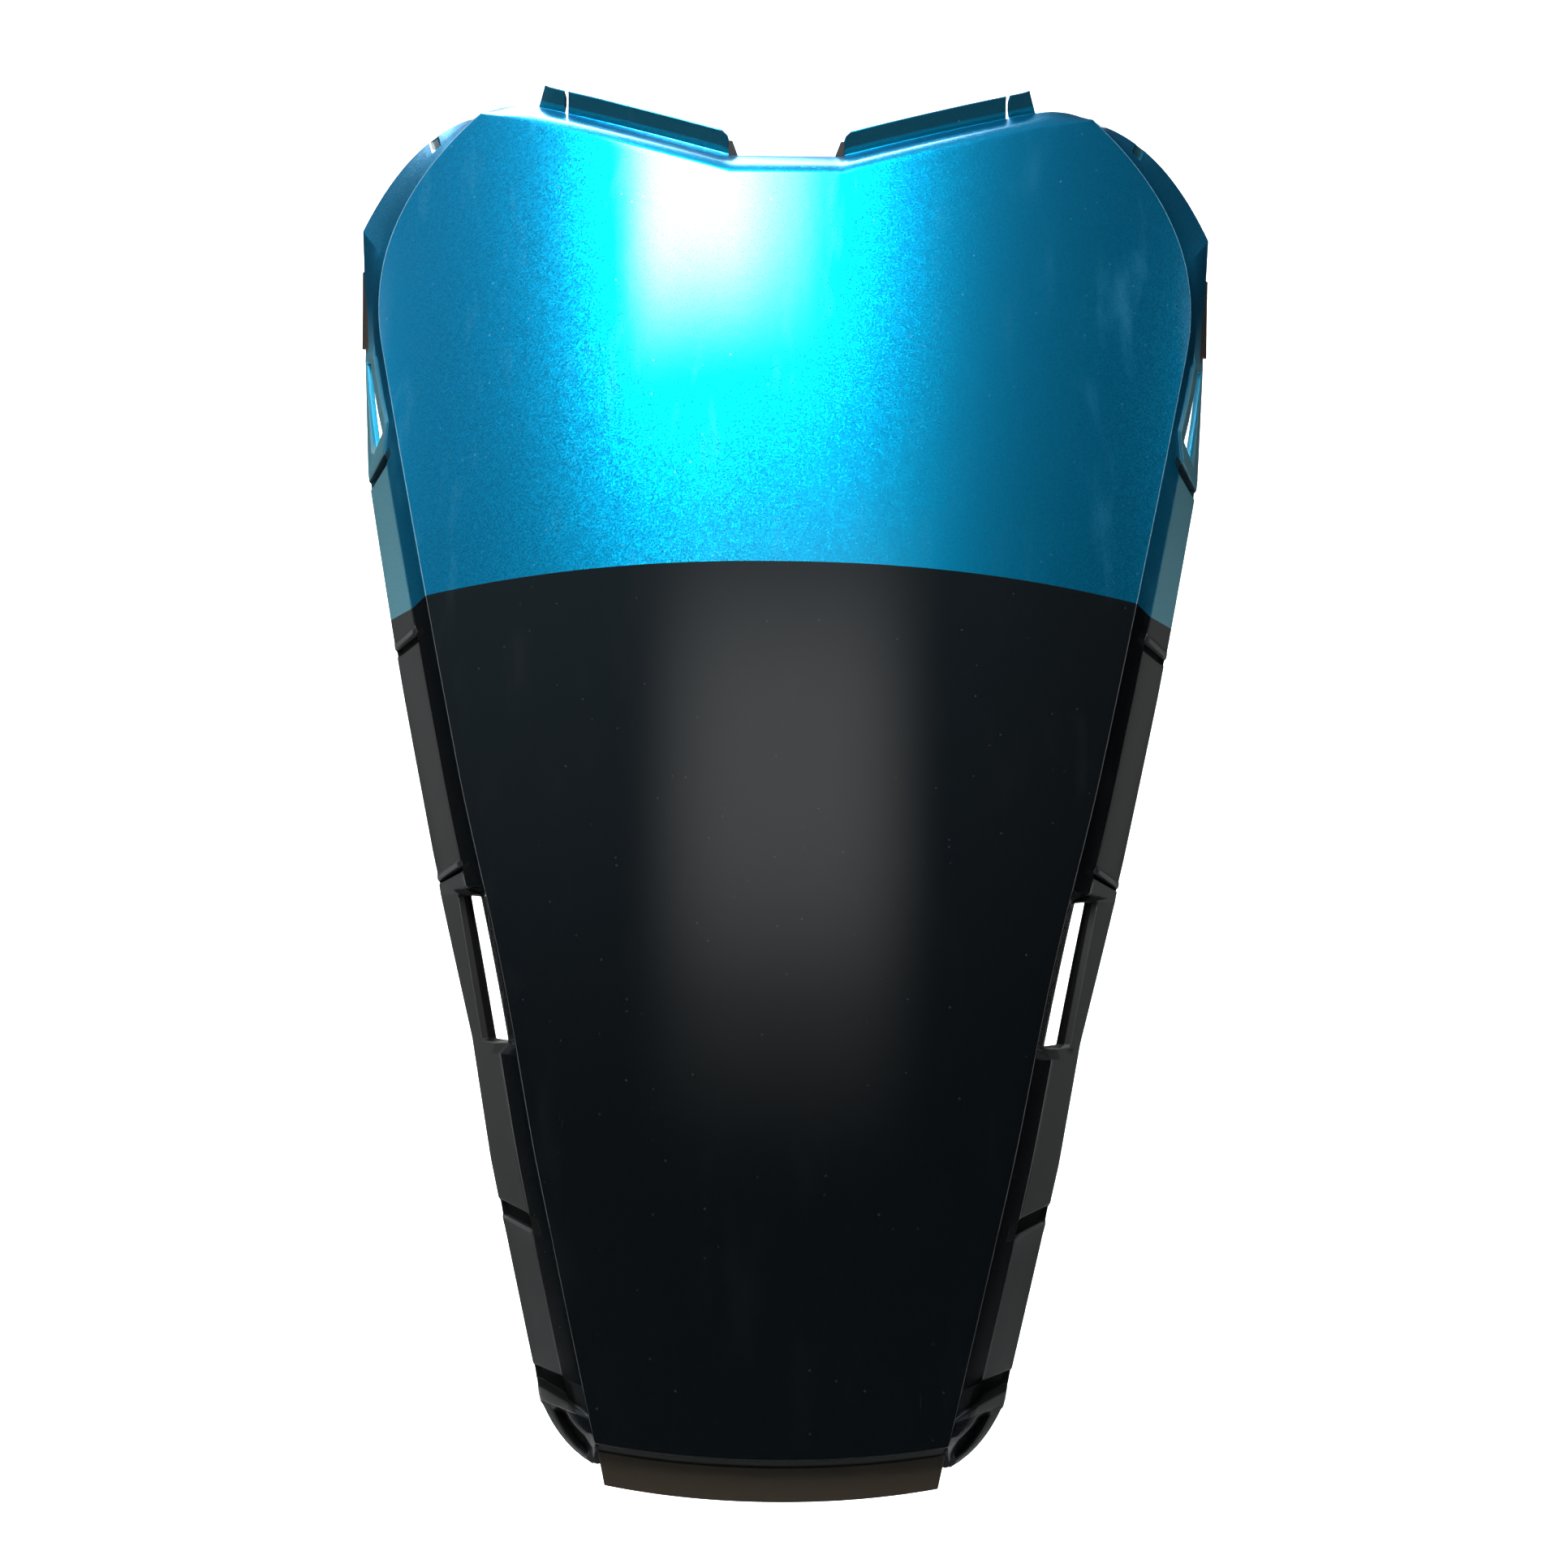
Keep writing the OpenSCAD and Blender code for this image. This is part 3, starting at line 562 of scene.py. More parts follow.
gaps = sum(not is_wall(i, k) for i in range(rows - 1) for k in range(half_cols))
print(gaps, "open cells in the right half")

# %% [markdown]
# ## Where the paint changes
# The blue ends on a shallow arch, masked across the face and bent down a little over the flange. Each
# point of the skin keeps its height above that line, whether it is on the glossy face or on the
# flange, which got a drier coat, and whether it is on the bare tongue.

# %% Height above the paint line
paint_line_z, paint_line_drop, paint_line_x, paint_line_power = 415.0, 15.0, 161.0, 2.1
paint_line_rise = 0.38


def above_line(p):
    """How far a point lies above the paint line."""
    behind = max(0.0, p.y - face_y(p.x, p.z))
    arch = paint_line_drop * (abs(p.x) / paint_line_x) ** paint_line_power
    return p.z - paint_line_z + arch + paint_line_rise * behind


print("line at the face's edge:", round(paint_line_z - paint_line_drop, 1), "mm")

# %% [markdown]
# ## Wet and dry paint, painted shade and highlights
# The spray gun pointed at the face. The flange got less paint the further it turns away. Painted shade
# darkens the grooves, recesses, pocket, lugs and the joggle above the tongue, and painted highlights
# lighten the crease, the lips, the slot rims and the lug tops. Each point keeps a number for this, because
# the paint's shader can then follow the real edges of the shape.

# %% How much paint each point of the skin got, and its painted shade and highlights
wet, wet_from_z, wet_to_z = 0.9, 512.0, 545.0


def wet_share(m):
    """Gloss of the flange: its step is wet paint, but its ledge got only a dry mist."""
    return wet if m < 2 else 0.0


def tone(i, k):
    """Painted shade below 0: grooves, recesses, the pocket, the hooks' recesses, the notch, the ledge above
    the lower slot, the lugs and the joggle above the tongue; 1 is a painted highlight on the crease, lips,
    the pocket's rim and the lug tops; 2 is a brighter painted highlight on the upper slot's rim.
    """
    if row_face - 3 < i <= row_face and k < face_cols:
        return -1.0 if i < row_face else -0.3
    if i > row_shelf_end:
        return 1.0 if i == rows - 1 else -0.285
    if k < face_cols or not row_face <= i <= row_top:
        return 0.0
    s, level, kind = body_rows[i - row_face]
    m = k - face_cols
    if m == 0:
        return 1.0
    if kind == HOOK:
        return -level if m in (3, 4) else 0.0
    if kind == LOWER:
        return -1.0 if m in (3, 4) else 1.0 if m == 5 else 0.0
    if kind == BESIDE_LOWER:
        return -1.0 if m < 5 and s > at_z(slot_top) else 0.0
    if kind == UPPER:
        return 2.0 if m == 5 else 0.0
    if level > 0.9 * groove or (level == recess and s > 2 and m > 2):
        return -1.0
    lips = [at_z(z + dz) for z in (mid_joggle_z, high_joggle_z) for dz in (0, lip_band)]
    lips.append(at_z(low_joggle_z - bevel))
    return 1.0 if m > 1 and any(abs(s - lip) < 1e-6 for lip in lips) else 0.0


# Count of points of a half that get painted shade.
painted_shade_points = sum(tone(i, k) < 0 for i in range(rows) for k in range(half_cols + 1))
print(painted_shade_points, "points of a half that the spray missed or touched lightly")

# %% [markdown]
# ## The skin
# A flat grid is laid over the whole front and each of its points is moved to its place, as a sheet is
# laid over a mould. Modelling the panel face by face would give the same form, but one grid keeps its
# rows continuous from the tongue to the lugs. Each point also keeps its numbers for the paint.

# %% Lay the grid and move its points into place
skin = bmesh.new()
bmesh.ops.create_grid(skin, x_segments=cols - 1, y_segments=rows - 1, size=0.5)
line_layer = skin.verts.layers.float.new("above_line")
gloss_layer = skin.verts.layers.float.new("gloss")
bare_layer = skin.verts.layers.float.new("bare")
painted_light_layer = skin.verts.layers.float.new("tone")
where = {}
# The tongue's dark, unpainted colour on the three columns beside a side tab, at the tab's lower and upper end
tab_mask = [(0.35, 0.0), (1.0, 0.0), (1.0, 0.6)]
for v in skin.verts:
    j = round((v.co.x + 0.5) * (cols - 1))
    i = round((v.co.y + 0.5) * (rows - 1))
    where[v.index] = (i, j)
    k = abs(j - half_cols)
    p = right_point(i, k)
    if j < half_cols:
        p.x = -p.x
    v.co = place(p.x, p.y, p.z)
    v[line_layer] = above_line(p)
    on_face = k <= face_cols or i > row_top
    v[gloss_layer] = 1.0 if on_face else mix(wet_share(k - face_cols), wet, ramp(wet_from_z, wet_to_z, p.z))
    v[bare_layer] = 1.0 if i < row_face - 2 or (row_face <= i <= row_top and k == half_cols) else 0.0
    beside_tab = half_cols - 4 < k < half_cols and row_face <= i <= row_top
    if beside_tab and tab_low <= body_rows[i - row_face][0] <= tab_high:
        up = ramp(tab_low, tab_high, body_rows[i - row_face][0]) ** 2
        v[bare_layer] = mix(*tab_mask[k - half_cols + 3], up)
    # Painted shade and painted highlights are kept as the point's tone.
    v[painted_light_layer] = tone(i, k)
print(len(skin.verts), "points in place")

# %% [markdown]
# ## Openings
# A cell belongs to the opening if its lowest row and innermost column say so. Deleting those faces leaves
# the slots, and the skin becomes an object that modifiers can work on.

# %% Open the slots and keep the skin as a piece
closed = []
for f in skin.faces:
    spots = [where[v.index] for v in f.verts]
    i, j = min(s[0] for s in spots), min(s[1] for s in spots)
    if not is_wall(i, j - half_cols if j >= half_cols else half_cols - 1 - j):
        closed.append(f)
bmesh.ops.delete(skin, geom=closed, context="FACES")
for f in skin.faces:
    f.smooth = True
skin_mesh = bpy.data.meshes.new("painted_shell")
skin.to_mesh(skin_mesh)
skin.free()
shell = bpy.data.objects.new("painted_shell", skin_mesh)
bpy.context.scene.collection.objects.link(shell)
print(len(skin_mesh.polygons), "faces in the skin")

# %% [markdown]
# ## Wall and edges
# The moulding is 2.6 mm thick all over. Solidify adds that inwards, so that the painted side stays where
# the solid has it. A narrow bevel rounds the edges, and weighted normals keep the flat ledges flat
# in the shading. All three stay live, so the wall can still be changed.

# %% Give it the wall and soft edges
edge_r, sharp_deg = 0.45, 14
walling = shell.modifiers.new("wall", "SOLIDIFY")
walling.thickness = wall * MM
walling.offset = -1
walling.use_even_offset = False
walling.thickness_clamp = 0.9
walling.material_offset = 1
rounding = shell.modifiers.new("rounding", "BEVEL")
rounding.width = edge_r * MM
rounding.segments = 2
rounding.limit_method = "ANGLE"
rounding.angle_limit = math.radians(sharp_deg)
rounding.use_clamp_overlap = False
shading = shell.modifiers.new("even_shading", "WEIGHTED_NORMAL")
shading.keep_sharp = True
shading.weight = 50
print("live modifiers:", [m.name for m in shell.modifiers])

# %% [markdown]
# ## Bosses, gussets and corner webs
# Behind the panel four screw bosses stand on cross ribs, as such panels have. A thin gusset holds the
# inner end of each lug, and a small web joins each bottom hook to the tongue. A boss is round, so its
# profile is spun about its axis, and its ribs are two stretched cubes rooted in the wall.

# %% Screw bosses with their ribs
pilot_edge, boss_edge, rooted, rib_below_end = 0.4, 0.5, 0.6, 1.5


def boss(bm, x, z):
    """A screw boss with its pilot hole, on two crossed ribs behind the wall."""
    end = face_y(x, z) + wall + boss_h
    profile = [(0, end - pilot_depth), (pilot_r, end - pilot_depth), (pilot_r, end - pilot_edge),
               (pilot_r + pilot_edge, end), (boss_r - boss_edge, end), (boss_r, end - boss_edge),
               (boss_r, face_y(x, z))]
    ring = [bm.verts.new((x + r, y, z)) for r, y in profile]
    edges = [bm.edges.new(pair) for pair in zip(ring, ring[1:])]
    bmesh.ops.spin(bm, geom=ring + edges, cent=(x, 0, z), axis=(0, 1, 0), angle=2 * math.pi, steps=48,
                   use_merge=True)
    for v in bm.verts:
        if abs(v.co.y - face_y(x, z)) < 1e-6:
            v.co.y = face_y(v.co.x, v.co.z) + rooted * wall
    for across, along in ((boss_rib_l, boss_rib_t / 2), (boss_rib_t / 2, boss_rib_l)):
        rib = bmesh.ops.create_cube(bm, size=2)["verts"]
        for v in rib:
            back = v.co.y > 0
            v.co = Vector((x + v.co.x * across, end - rib_below_end, z + v.co.z * along))
            if not back:
                v.co.y = face_y(v.co.x, v.co.z) + rooted * wall


def plate(bm, points, y0, y1):
    """A flat web with the given front outline, from depth y0 to depth y1."""
    face = bm.faces.new([bm.verts.new((x, y0, z)) for x, z in points])
    made = bmesh.ops.extrude_face_region(bm, geom=[face])["geom"]
    bmesh.ops.translate(bm, vec=(0, y1 - y0, 0), verts=[g for g in made if isinstance(g, bmesh.types.BMVert)])


print(f"the bosses end {boss_h} mm behind the wall")

# %% [markdown]
# ## Gussets and webs
# The gussets and webs are flat plates: an outline, extruded by their thickness. All of it is made on the
# right and mirrored, as the real panel is symmetric.

# %% Set the bosses, gussets and webs in place and mirror them
small_edge_r = 0.25
details = bmesh.new()
boss(details, *upper_boss)
boss(details, *lower_boss)
foot = shelf_point(lug_inner / half_top, 1)
gusset = [(foot.x + 1.2, foot.z - 1.2), (foot.x - gusset_w, foot.z - 1.2),
          (foot.x - 0.6, foot.z + gusset_h), (foot.x + 1.2, foot.z + gusset_h)]
plate(details, gusset, foot.y - 0.6, foot.y - 0.6 + gusset_t)
corner = flat(face_bottom_w / 2, bottom_corner_z)
web_y = face_y(corner.x, corner.y) + tongue_set_back
web = [corner + flat(-2.4, -1.9), corner + flat(1.8, -1.6), hook_tip + flat(2.9, 3.6),
       hook_tip + flat(1.4, 1.7), hook_tip + flat(-2.1, 0.6),
       (corner.x - 0.85 * tongue_taper, hook_tip.y + 1.2)]
plate(details, web, web_y + 0.35 * wall, web_y + 2.1 * wall)
everything = details.verts[:] + details.edges[:] + details.faces[:]
bmesh.ops.mirror(details, geom=everything, axis="X", merge_dist=1e-5)
for v in details.verts:
    v.co = place(*v.co)
bmesh.ops.remove_doubles(details, verts=details.verts[:], dist=1e-6)
bmesh.ops.recalc_face_normals(details, faces=details.faces[:])
details_mesh = bpy.data.meshes.new("bosses_and_webs")
details.to_mesh(details_mesh)
details.free()
details_mesh.shade_smooth()
fittings = bpy.data.objects.new("bosses_and_webs", details_mesh)
bpy.context.scene.collection.objects.link(fittings)
soft = fittings.modifiers.new("rounding", "BEVEL")
soft.width = small_edge_r * MM
soft.segments = 2
soft.limit_method = "ANGLE"
soft.angle_limit = math.radians(35)
soft_normals = fittings.modifiers.new("even_shading", "WEIGHTED_NORMAL")
soft_normals.keep_sharp = True
print(len(details_mesh.polygons), "faces in the bosses, gussets and webs")

# %% [markdown]
# ## Shader helpers
# A material is a tree of nodes. Adding a node, a sum or a colour mix takes several lines each time, so
# small functions do it, and the cells after this read like a recipe.

# %% Small helpers for materials
def new_material(name):
    """A material with its node tree and its main shader."""
    material = bpy.data.materials.new(name)
    material.use_nodes = True
    tree = material.node_tree
    return material, tree, tree.nodes["Principled BSDF"]


def add(tree, kind, settings=(), **sockets):
    """Adds a node; sockets are values or links, named with _ for spaces, or i0, i1 for numbered ones."""
    n = tree.nodes.new(kind)
    for key, value in dict(settings).items():
        setattr(n, key, value)
    for key, value in sockets.items():
        numbered = key[0] == "i" and key[1:].isdigit()
        socket = n.inputs[int(key[1:])] if numbered else n.inputs[key.replace("_", " ")]
        if isinstance(value, bpy.types.NodeSocket):
            tree.links.new(value, socket)
        else:
            socket.default_value = value
    return n


def maths(tree, operation, a, b=0.0, c=0.0):
    """The result of one sum on a, b and c."""
    return add(tree, "ShaderNodeMath", {"operation": operation}, i0=a, i1=b, i2=c).outputs[0]


def blend(tree, factor, a, b):
    """A colour between a and b."""
    n = add(tree, "ShaderNodeMix", {"data_type": "RGBA"}, i0=factor, i6=a, i7=b)
    return n.outputs[2]


def between(tree, value, low, high, to_low=0.0, to_high=1.0):
    """A value carried over from low and high to to_low and to_high, and held there."""
    return add(tree, "ShaderNodeMapRange", {"clamp": True}, Value=value, From_Min=low, From_Max=high,
               To_Min=to_low, To_Max=to_high).outputs[0]


def kept(tree, name):
    """A number that each point of the skin keeps."""
    return add(tree, "ShaderNodeAttribute", {"attribute_name": name}).outputs["Fac"]


print("helpers ready for", [m.__name__ for m in (add, maths, blend, between, kept)])

# %% [markdown]
# ## Paint
# Candy blue is metal flake under tinted lacquer: each flake tilts its own way, so the colour sparkles
# near the light and deepens away from it. Below the line the paint is plain gloss black. A clear coat
# lies over both, smooth on the face and dry on the flange. The tongue is bare plastic. Fine dust and a
# few light scratches lie on the clear coat.

# %% Colour of the two-tone paint
paint, tree, bsdf = new_material("two_tone_paint")
coords = add(tree, "ShaderNodeTexCoord").outputs["Object"]
blue = between(tree, kept(tree, "above_line"), -0.12, 0.12)
gloss = kept(tree, "gloss")
bare = between(tree, kept(tree, "bare"), 0.45, 0.55)
flakes = add(tree, "ShaderNodeTexVoronoi", {"feature": "F1"}, Vector=coords, Scale=2600.0)
flake = add(tree, "ShaderNodeSeparateColor", Color=flakes.outputs["Color"]).outputs[0]
facing = add(tree, "ShaderNodeLayerWeight", Blend=0.35).outputs["Facing"]
deep = blend(tree, facing, (0.0, 0.335, 0.60, 1), (0.0, 0.105, 0.275, 1))
sparkle = between(tree, flake, 0.0, 1.0, 0.8, 1.2)
candy = add(tree, "ShaderNodeVectorMath", {"operation": "SCALE"}, i0=deep, Scale=sparkle).outputs[0]
# The dry mist's paler colours are partly its own dry finish and partly a painted reflection of the bright
# surroundings.
dry_blue_and_sheen = blend(tree, gloss, (0.11, 0.29, 0.35, 1), candy)
dry_black_and_sheen = blend(tree, gloss, (0.020, 0.019, 0.018, 1), (0.004, 0.005, 0.006, 1))
coloured = blend(tree, blue, dry_black_and_sheen, dry_blue_and_sheen)
# The tone of each point: below 0 painted shade, 1 and 2 painted highlights.
painted_light_here = kept(tree, "tone")
# Painted shade: where the tone is below 0, the colour turns near black or dark teal in the grooves, recesses,
# pocket, lugs and the joggle above the tongue.
painted_shade = between(tree, painted_light_here, -0.1, -0.3)
# Painted highlight: where the tone is 1, a lighter grey or pale blue along the crease, on the lips, the
# pocket's rim and the lug tops.
painted_highlight = between(tree, painted_light_here, 0.95, 0.99)
coloured = blend(tree, painted_shade, coloured, blend(tree, blue, (0.004, 0.004, 0.004, 1), (0.006, 0.035, 0.05, 1)))
coloured = blend(tree, painted_highlight, coloured, blend(tree, blue, (0.07, 0.07, 0.07, 1), (0.20, 0.40, 0.50, 1)))
# A brighter painted highlight in plain blue on the upper slot's rim, where the tone is 2.
painted_rim_highlight = maths(tree, "MULTIPLY", blue, between(tree, painted_light_here, 1.3, 1.6))
coloured = blend(tree, painted_rim_highlight, coloured, (0.0, 0.38, 0.62, 1))
# Share of each point outside the painted shade.
clear_of_painted_shade = maths(tree, "SUBTRACT", 1.0, painted_shade)
body_colour = blend(tree, bare, coloured, (0.046, 0.034, 0.024, 1))
# Paint outside the bare plastic and outside the painted shade; it carries the metal and the coat.
painted = maths(tree, "MULTIPLY", maths(tree, "SUBTRACT", 1.0, bare), clear_of_painted_shade)
metal = maths(tree, "MULTIPLY", blue, between(tree, gloss, 0.0, 1.0, 0.45, 0.9))
# No metal under the painted highlights.
clear_of_painted_highlight = maths(tree, "SUBTRACT", 1.0, maths(tree, "MAXIMUM", painted_rim_highlight, painted_highlight))
metal = maths(tree, "MULTIPLY", metal, maths(tree, "MULTIPLY", painted, clear_of_painted_highlight))
print(len(tree.nodes), "nodes make the colour")

# %% [markdown]
# ## Dust and smudges
# A used panel has specks of dust, and smudges where it was held near its sides. Cells of a Voronoi pattern
# make the specks, and stretched noise makes the smudges. Both hide the metal of the paint, because dust
# lies on top of it.

# %% Dust and smudges
across = add(tree, "ShaderNodeSeparateXYZ", Vector=coords)
rim = between(tree, maths(tree, "ABSOLUTE", across.outputs["X"]), 0.08, 0.17, 0.25, 1.0)
dust = add(tree, "ShaderNodeTexVoronoi", {"feature": "F1"}, Vector=coords, Scale=170.0)
some = between(tree, add(tree, "ShaderNodeSeparateColor", Color=dust.outputs["Color"]).outputs[0], 0.72, 0.74)
specks = maths(tree, "MULTIPLY", between(tree, dust.outputs["Distance"], 0.11, 0.05), some)
wiped = add(tree, "ShaderNodeMapping", Vector=coords, Rotation=(0.0, 0.5, 0.0),
            Scale=(60.0, 20.0, 14.0)).outputs[0]
smear = add(tree, "ShaderNodeTexNoise", Vector=wiped, Scale=1.0, Detail=5.0, Roughness=0.65).outputs["Fac"]
smudge = maths(tree, "MULTIPLY", between(tree, smear, 0.56, 0.74, 0.0, 0.22), rim)
dusty = maths(tree, "MULTIPLY", maths(tree, "MAXIMUM", maths(tree, "MULTIPLY", specks, 0.55), smudge), gloss)
film = blend(tree, blue, (0.05, 0.05, 0.052, 1), (0.16, 0.38, 0.50, 1))
body_colour = blend(tree, dusty, body_colour, film)
metal = maths(tree, "MULTIPLY", metal, maths(tree, "SUBTRACT", 1.0, dusty))
print(len(tree.nodes), "nodes with the dust")

# %% [markdown]
# ## Shine of the paint
# Wet paint has a clear coat over metal flake. The dry mist on the flange has almost none. Each flake lies
# at its own angle: a random colour for each cell of a fine pattern tilts the normal a little, and
# the light breaks up into sparkle.

# %% Shine and flake of the paint
tree.links.new(body_colour, bsdf.inputs["Base Color"])
tree.links.new(metal, bsdf.inputs["Metallic"])
tree.links.new(between(tree, gloss, 0.0, 1.0, 0.5, 0.33), bsdf.inputs["Roughness"])
coat = maths(tree, "MULTIPLY", between(tree, gloss, 0.0, 1.0, 0.12, 1.0), painted)
coat = maths(tree, "MULTIPLY", coat, between(tree, blue, 0.0, 1.0, 1.0, 0.62))
shine = between(tree, maths(tree, "MULTIPLY", gloss, painted), 0.0, 1.0, 0.45, 0.0)
# The painted shade also dulls the shine.
shine = maths(tree, "MULTIPLY", shine, between(tree, painted_shade, 0.0, 1.0, 1.0, 0.2))
tree.links.new(shine, bsdf.inputs["Specular IOR Level"])
tree.links.new(coat, bsdf.inputs["Coat Weight"])
bsdf.inputs["Coat IOR"].default_value = 1.5
tilt = add(tree, "ShaderNodeVectorMath", {"operation": "SUBTRACT"}, i0=flakes.outputs["Color"],
           i1=(0.5, 0.5, 0.5)).outputs[0]
flake_tilt = maths(tree, "MULTIPLY", blue, 0.16)
tilt = add(tree, "ShaderNodeVectorMath", {"operation": "SCALE"}, i0=tilt, Scale=flake_tilt).outputs[0]
straight = add(tree, "ShaderNodeNewGeometry").outputs["Normal"]
tilted = add(tree, "ShaderNodeVectorMath", {"operation": "ADD"}, i0=straight, i1=tilt).outputs[0]
tilted = add(tree, "ShaderNodeVectorMath", {"operation": "NORMALIZE"}, i0=tilted).outputs[0]
tree.links.new(tilted, bsdf.inputs["Normal"])
print(len(tree.nodes), "nodes with the flake")

# %% [markdown]
# ## Clear coat
# The coat is smooth, with the faint ripple that sprayed lacquer keeps, and a few hairlines from wiping.
# The ripple bends only the coat's own reflection, so the flake below stays sharp.

# %% Clear coat with fine scratches
peel = add(tree, "ShaderNodeTexNoise", Vector=coords, Scale=170.0, Detail=2.0).outputs["Fac"]
ripple = add(tree, "ShaderNodeBump", Strength=0.05, Distance=0.0002, Height=peel).outputs[0]
tree.links.new(ripple, bsdf.inputs["Coat Normal"])
streaked = add(tree, "ShaderNodeMapping", Vector=coords, Rotation=(0.0, 0.6, 0.0),
               Scale=(300.0, 20.0, 18.0)).outputs[0]
hairs = add(tree, "ShaderNodeTexNoise", Vector=streaked, Scale=1.0, Detail=3.0, Roughness=0.7).outputs["Fac"]
haze = add(tree, "ShaderNodeTexNoise", Vector=coords, Scale=9.0, Detail=3.0).outputs["Fac"]
hairline = maths(tree, "MULTIPLY", between(tree, hairs, 0.66, 0.72), between(tree, haze, 0.5, 0.65))
rough = maths(tree, "MULTIPLY", hairline, 0.25)
rough = maths(tree, "ADD", between(tree, haze, 0.3, 0.75, 0.02, 0.05), rough)
rough = maths(tree, "ADD", rough, between(tree, gloss, 0.0, 0.9, 0.3, 0.0))
tree.links.new(rough, bsdf.inputs["Coat Roughness"])
shell.data.materials.append(paint)
print("two-tone paint:", len(tree.nodes), "nodes")

# %% [markdown]
# ## Bare plastic
# The rear has no paint. Its plastic is dark and even, with a fine grain from the mould and slow changes
# of tone where it flowed.

# %% Bare moulded plastic on the rear
raw, tree, bsdf = new_material("moulded_plastic")
coords = add(tree, "ShaderNodeTexCoord").outputs["Object"]
grain = add(tree, "ShaderNodeTexNoise", Vector=coords, Scale=1400.0, Detail=2.0).outputs["Fac"]
flow = add(tree, "ShaderNodeTexNoise", Vector=coords, Scale=14.0, Detail=4.0).outputs["Fac"]
dark = blend(tree, between(tree, flow, 0.3, 0.7), (0.018, 0.018, 0.019, 1), (0.030, 0.030, 0.032, 1))
tree.links.new(dark, bsdf.inputs["Base Color"])
tree.links.new(between(tree, grain, 0.3, 0.7, 0.42, 0.58), bsdf.inputs["Roughness"])
grained = add(tree, "ShaderNodeBump", Strength=0.25, Distance=0.0001, Height=grain).outputs[0]
tree.links.new(grained, bsdf.inputs["Normal"])
shell.data.materials.append(raw)
fittings.data.materials.append(raw)
print("materials of the shell:", [m.name for m in shell.data.materials])

# %% [markdown]
# ## Both pieces belong to the one moulding
# The two pieces together stand for the imported solid. They replace it and ride on its body.

# %% Put both pieces in the solid's place
for piece in (shell, fittings):
    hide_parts("front_panel")
    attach(piece, "root")
print("pieces:", shell.name, "and", fittings.name)

# %% [markdown]
# ## The studio
# The photograph has a bare white ground, so the panel hangs over a pale floor in front of a pale
# backdrop. Both glow a little, but only well behind the panel: there they stay white in the picture,
# and the glow doesn't light the black half from below.

# %% Floor and backdrop
stage_material, tree, bsdf = new_material("studio_paper")
bsdf.inputs["Base Color"].default_value = (0.9, 0.9, 0.9, 1)
bsdf.inputs["Roughness"].default_value = 0.9
bsdf.inputs["Emission Color"].default_value = (1, 1, 1, 1)
spot = add(tree, "ShaderNodeNewGeometry").outputs["Position"]
depth = add(tree, "ShaderNodeSeparateXYZ", Vector=spot).outputs["Y"]
tree.links.new(between(tree, depth, 0.4, 0.75, 0.0, 0.8), bsdf.inputs["Emission Strength"])


def stage_sheet(name, centre, size, rotation=(0, 0, 0)):
    """A flat sheet of studio paper."""
    bm = bmesh.new()
    bmesh.ops.create_grid(bm, x_segments=1, y_segments=1, size=0.5)
    mesh = bpy.data.meshes.new(name)
    bm.to_mesh(mesh)
    bm.free()
    mesh.materials.append(stage_material)
    sheet = bpy.data.objects.new(name, mesh)
    sheet.location, sheet.scale, sheet.rotation_euler = centre, (size[0], size[1], 1), rotation
    bpy.context.scene.collection.objects.link(sheet)


stage_sheet("floor", (0, 0.8, -0.80), (1.8, 2.2))
stage_sheet("backdrop", (0, 1.9, 0.0), (1.8, 1.6), (math.radians(90), 0, 0))
print("studio sheets: floor and backdrop")

# %% [markdown]
# ## Lamps
# The main light stands above the camera, a little to the left. A plain lamp panel would show its hard
# outline in the gloss, so each lamp here is full in the middle and fades to its rim. Weaker lamps in
# front, overhead and at both sides show the black half and draw the flanges.

# %% Lamps
def soft_light(name, place_at, aim_at, width, height, strength, full=0.1, turn=0.0):
    """A lamp panel whose glow is full over a middle share of it and fades smoothly to its edges."""
    data = bpy.data.lights.new(name, "AREA")
    data.shape, data.size, data.size_y = "RECTANGLE", width, height
    data.energy = width * height * math.pi
    data.use_nodes = True
    tree = data.node_tree
    spot = add(tree, "ShaderNodeSeparateXYZ", Vector=add(tree, "ShaderNodeNewGeometry").outputs["Parametric"])
    glow = strength
    for side in ("X", "Y"):
        off = maths(tree, "ABSOLUTE", maths(tree, "SUBTRACT", spot.outputs[side], 0.5))
        fade = add(tree, "ShaderNodeMapRange", {"interpolation_type": "SMOOTHERSTEP"}, Value=off,
                   From_Min=0.5, From_Max=full / 2, To_Min=0.0, To_Max=1.0).outputs[0]
        glow = maths(tree, "MULTIPLY", fade, glow)
    tree.links.new(glow, tree.nodes["Emission"].inputs["Strength"])
    lamp = bpy.data.objects.new(name, data)
    lamp.location = place_at
    aim = (Vector(aim_at) - Vector(place_at)).to_track_quat("-Z", "Y")
    lamp.rotation_euler = (aim @ Quaternion((0, 0, 1), math.radians(turn))).to_euler()
    bpy.context.scene.collection.objects.link(lamp)


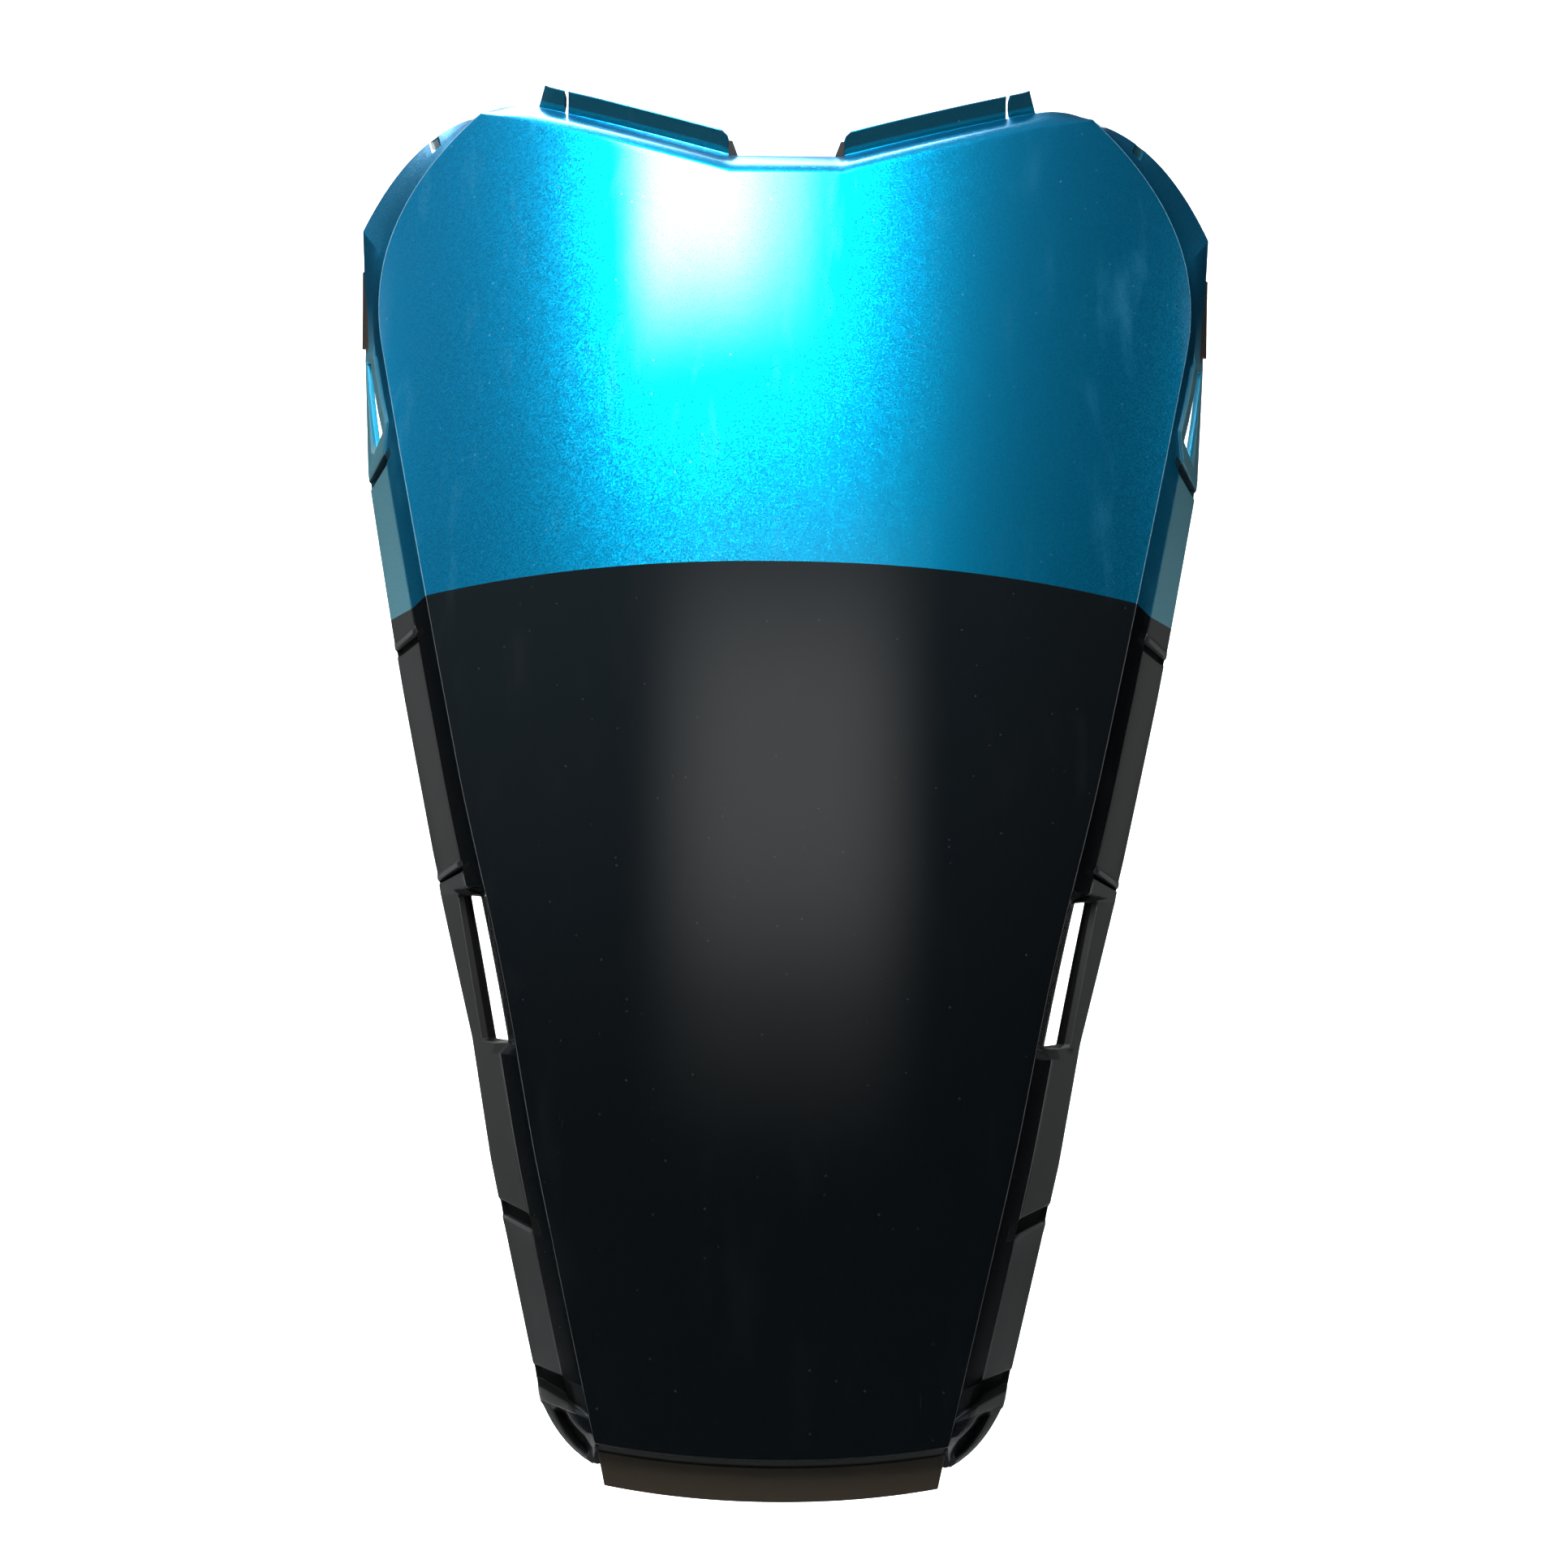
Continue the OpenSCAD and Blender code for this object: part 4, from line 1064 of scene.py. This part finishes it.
soft_light("soft_light_top", (-0.32, -1.18, 1.64), (0, 0, 0), 0.98, 1.3, 44, 0.2, 11)
soft_light("soft_light_front", (0.05, -3.0, 0.70), (0, 0, 0), 2.6, 2.6, 1.25, 0.0)
soft_light("soft_light_overhead", (-0.6, 0.95, 1.7), (0, 0, 0.1), 1.9, 1.8, 14, 0.3)
soft_light("soft_light_left", (-2.0, 0.15, 0.0), (0, 0, -0.1), 0.75, 2.4, 1.5, 0.5)
soft_light("soft_light_right", (2.0, 0.15, 0.0), (0, 0, -0.1), 0.75, 2.4, 1.3, 0.5)
print("lamps:", [lamp.name for lamp in bpy.data.lights])

# %% [markdown]
# ## The room
# Gloss paint shows the room it stands in. A plain room that is pale high up and on the left, and dark
# towards the floor and the right, gives the blue its depth without showing any object.

# %% The room round the panel
world = bpy.data.worlds.new("studio")
world.use_nodes = True
tree = world.node_tree
heading = add(tree, "ShaderNodeTexCoord").outputs["Generated"]
along = add(tree, "ShaderNodeSeparateXYZ", Vector=heading)
height = between(tree, along.outputs["Z"], 0.0, 0.95, 0.05, 1.0)
side = between(tree, along.outputs["X"], -0.8, 0.8, 0.75, 0.2)
front = between(tree, along.outputs["Y"], -0.1, 0.5, 1.0, 0.1)
room_light = maths(tree, "MULTIPLY", maths(tree, "MULTIPLY", height, side), front)
background = tree.nodes["Background"]
background.inputs["Color"].default_value = (0.52, 0.82, 1, 1)
tree.links.new(room_light, background.inputs["Strength"])
bpy.context.scene.world = world
bpy.context.scene.view_settings.view_transform = "Standard"
print("room:", world.name)

# %% [markdown]
# ## The camera
# The photograph was taken square from the front at about half the panel's height. Its
# distance of 1.4 m was worked out from how much of the flange shows outside the face.

# %% Camera at the photograph's viewing angle
camera_side, camera_distance, camera_height, roll = 2.2, 1400.0, 315.0, 0.65
picture_px, px_per_mm, sensor = 1932, 2.803, 36
view = bpy.data.cameras.new("camera")
view.sensor_width = sensor
view.lens = sensor * px_per_mm * camera_distance / picture_px
camera = bpy.data.objects.new("camera", view)
camera.location = place(camera_side, -camera_distance, camera_height)
camera.rotation_euler = (math.radians(90), math.radians(-roll), 0)
bpy.context.scene.collection.objects.link(camera)
bpy.context.scene.camera = camera
print(f"lens {view.lens:.1f} mm at {camera.location[:]}")
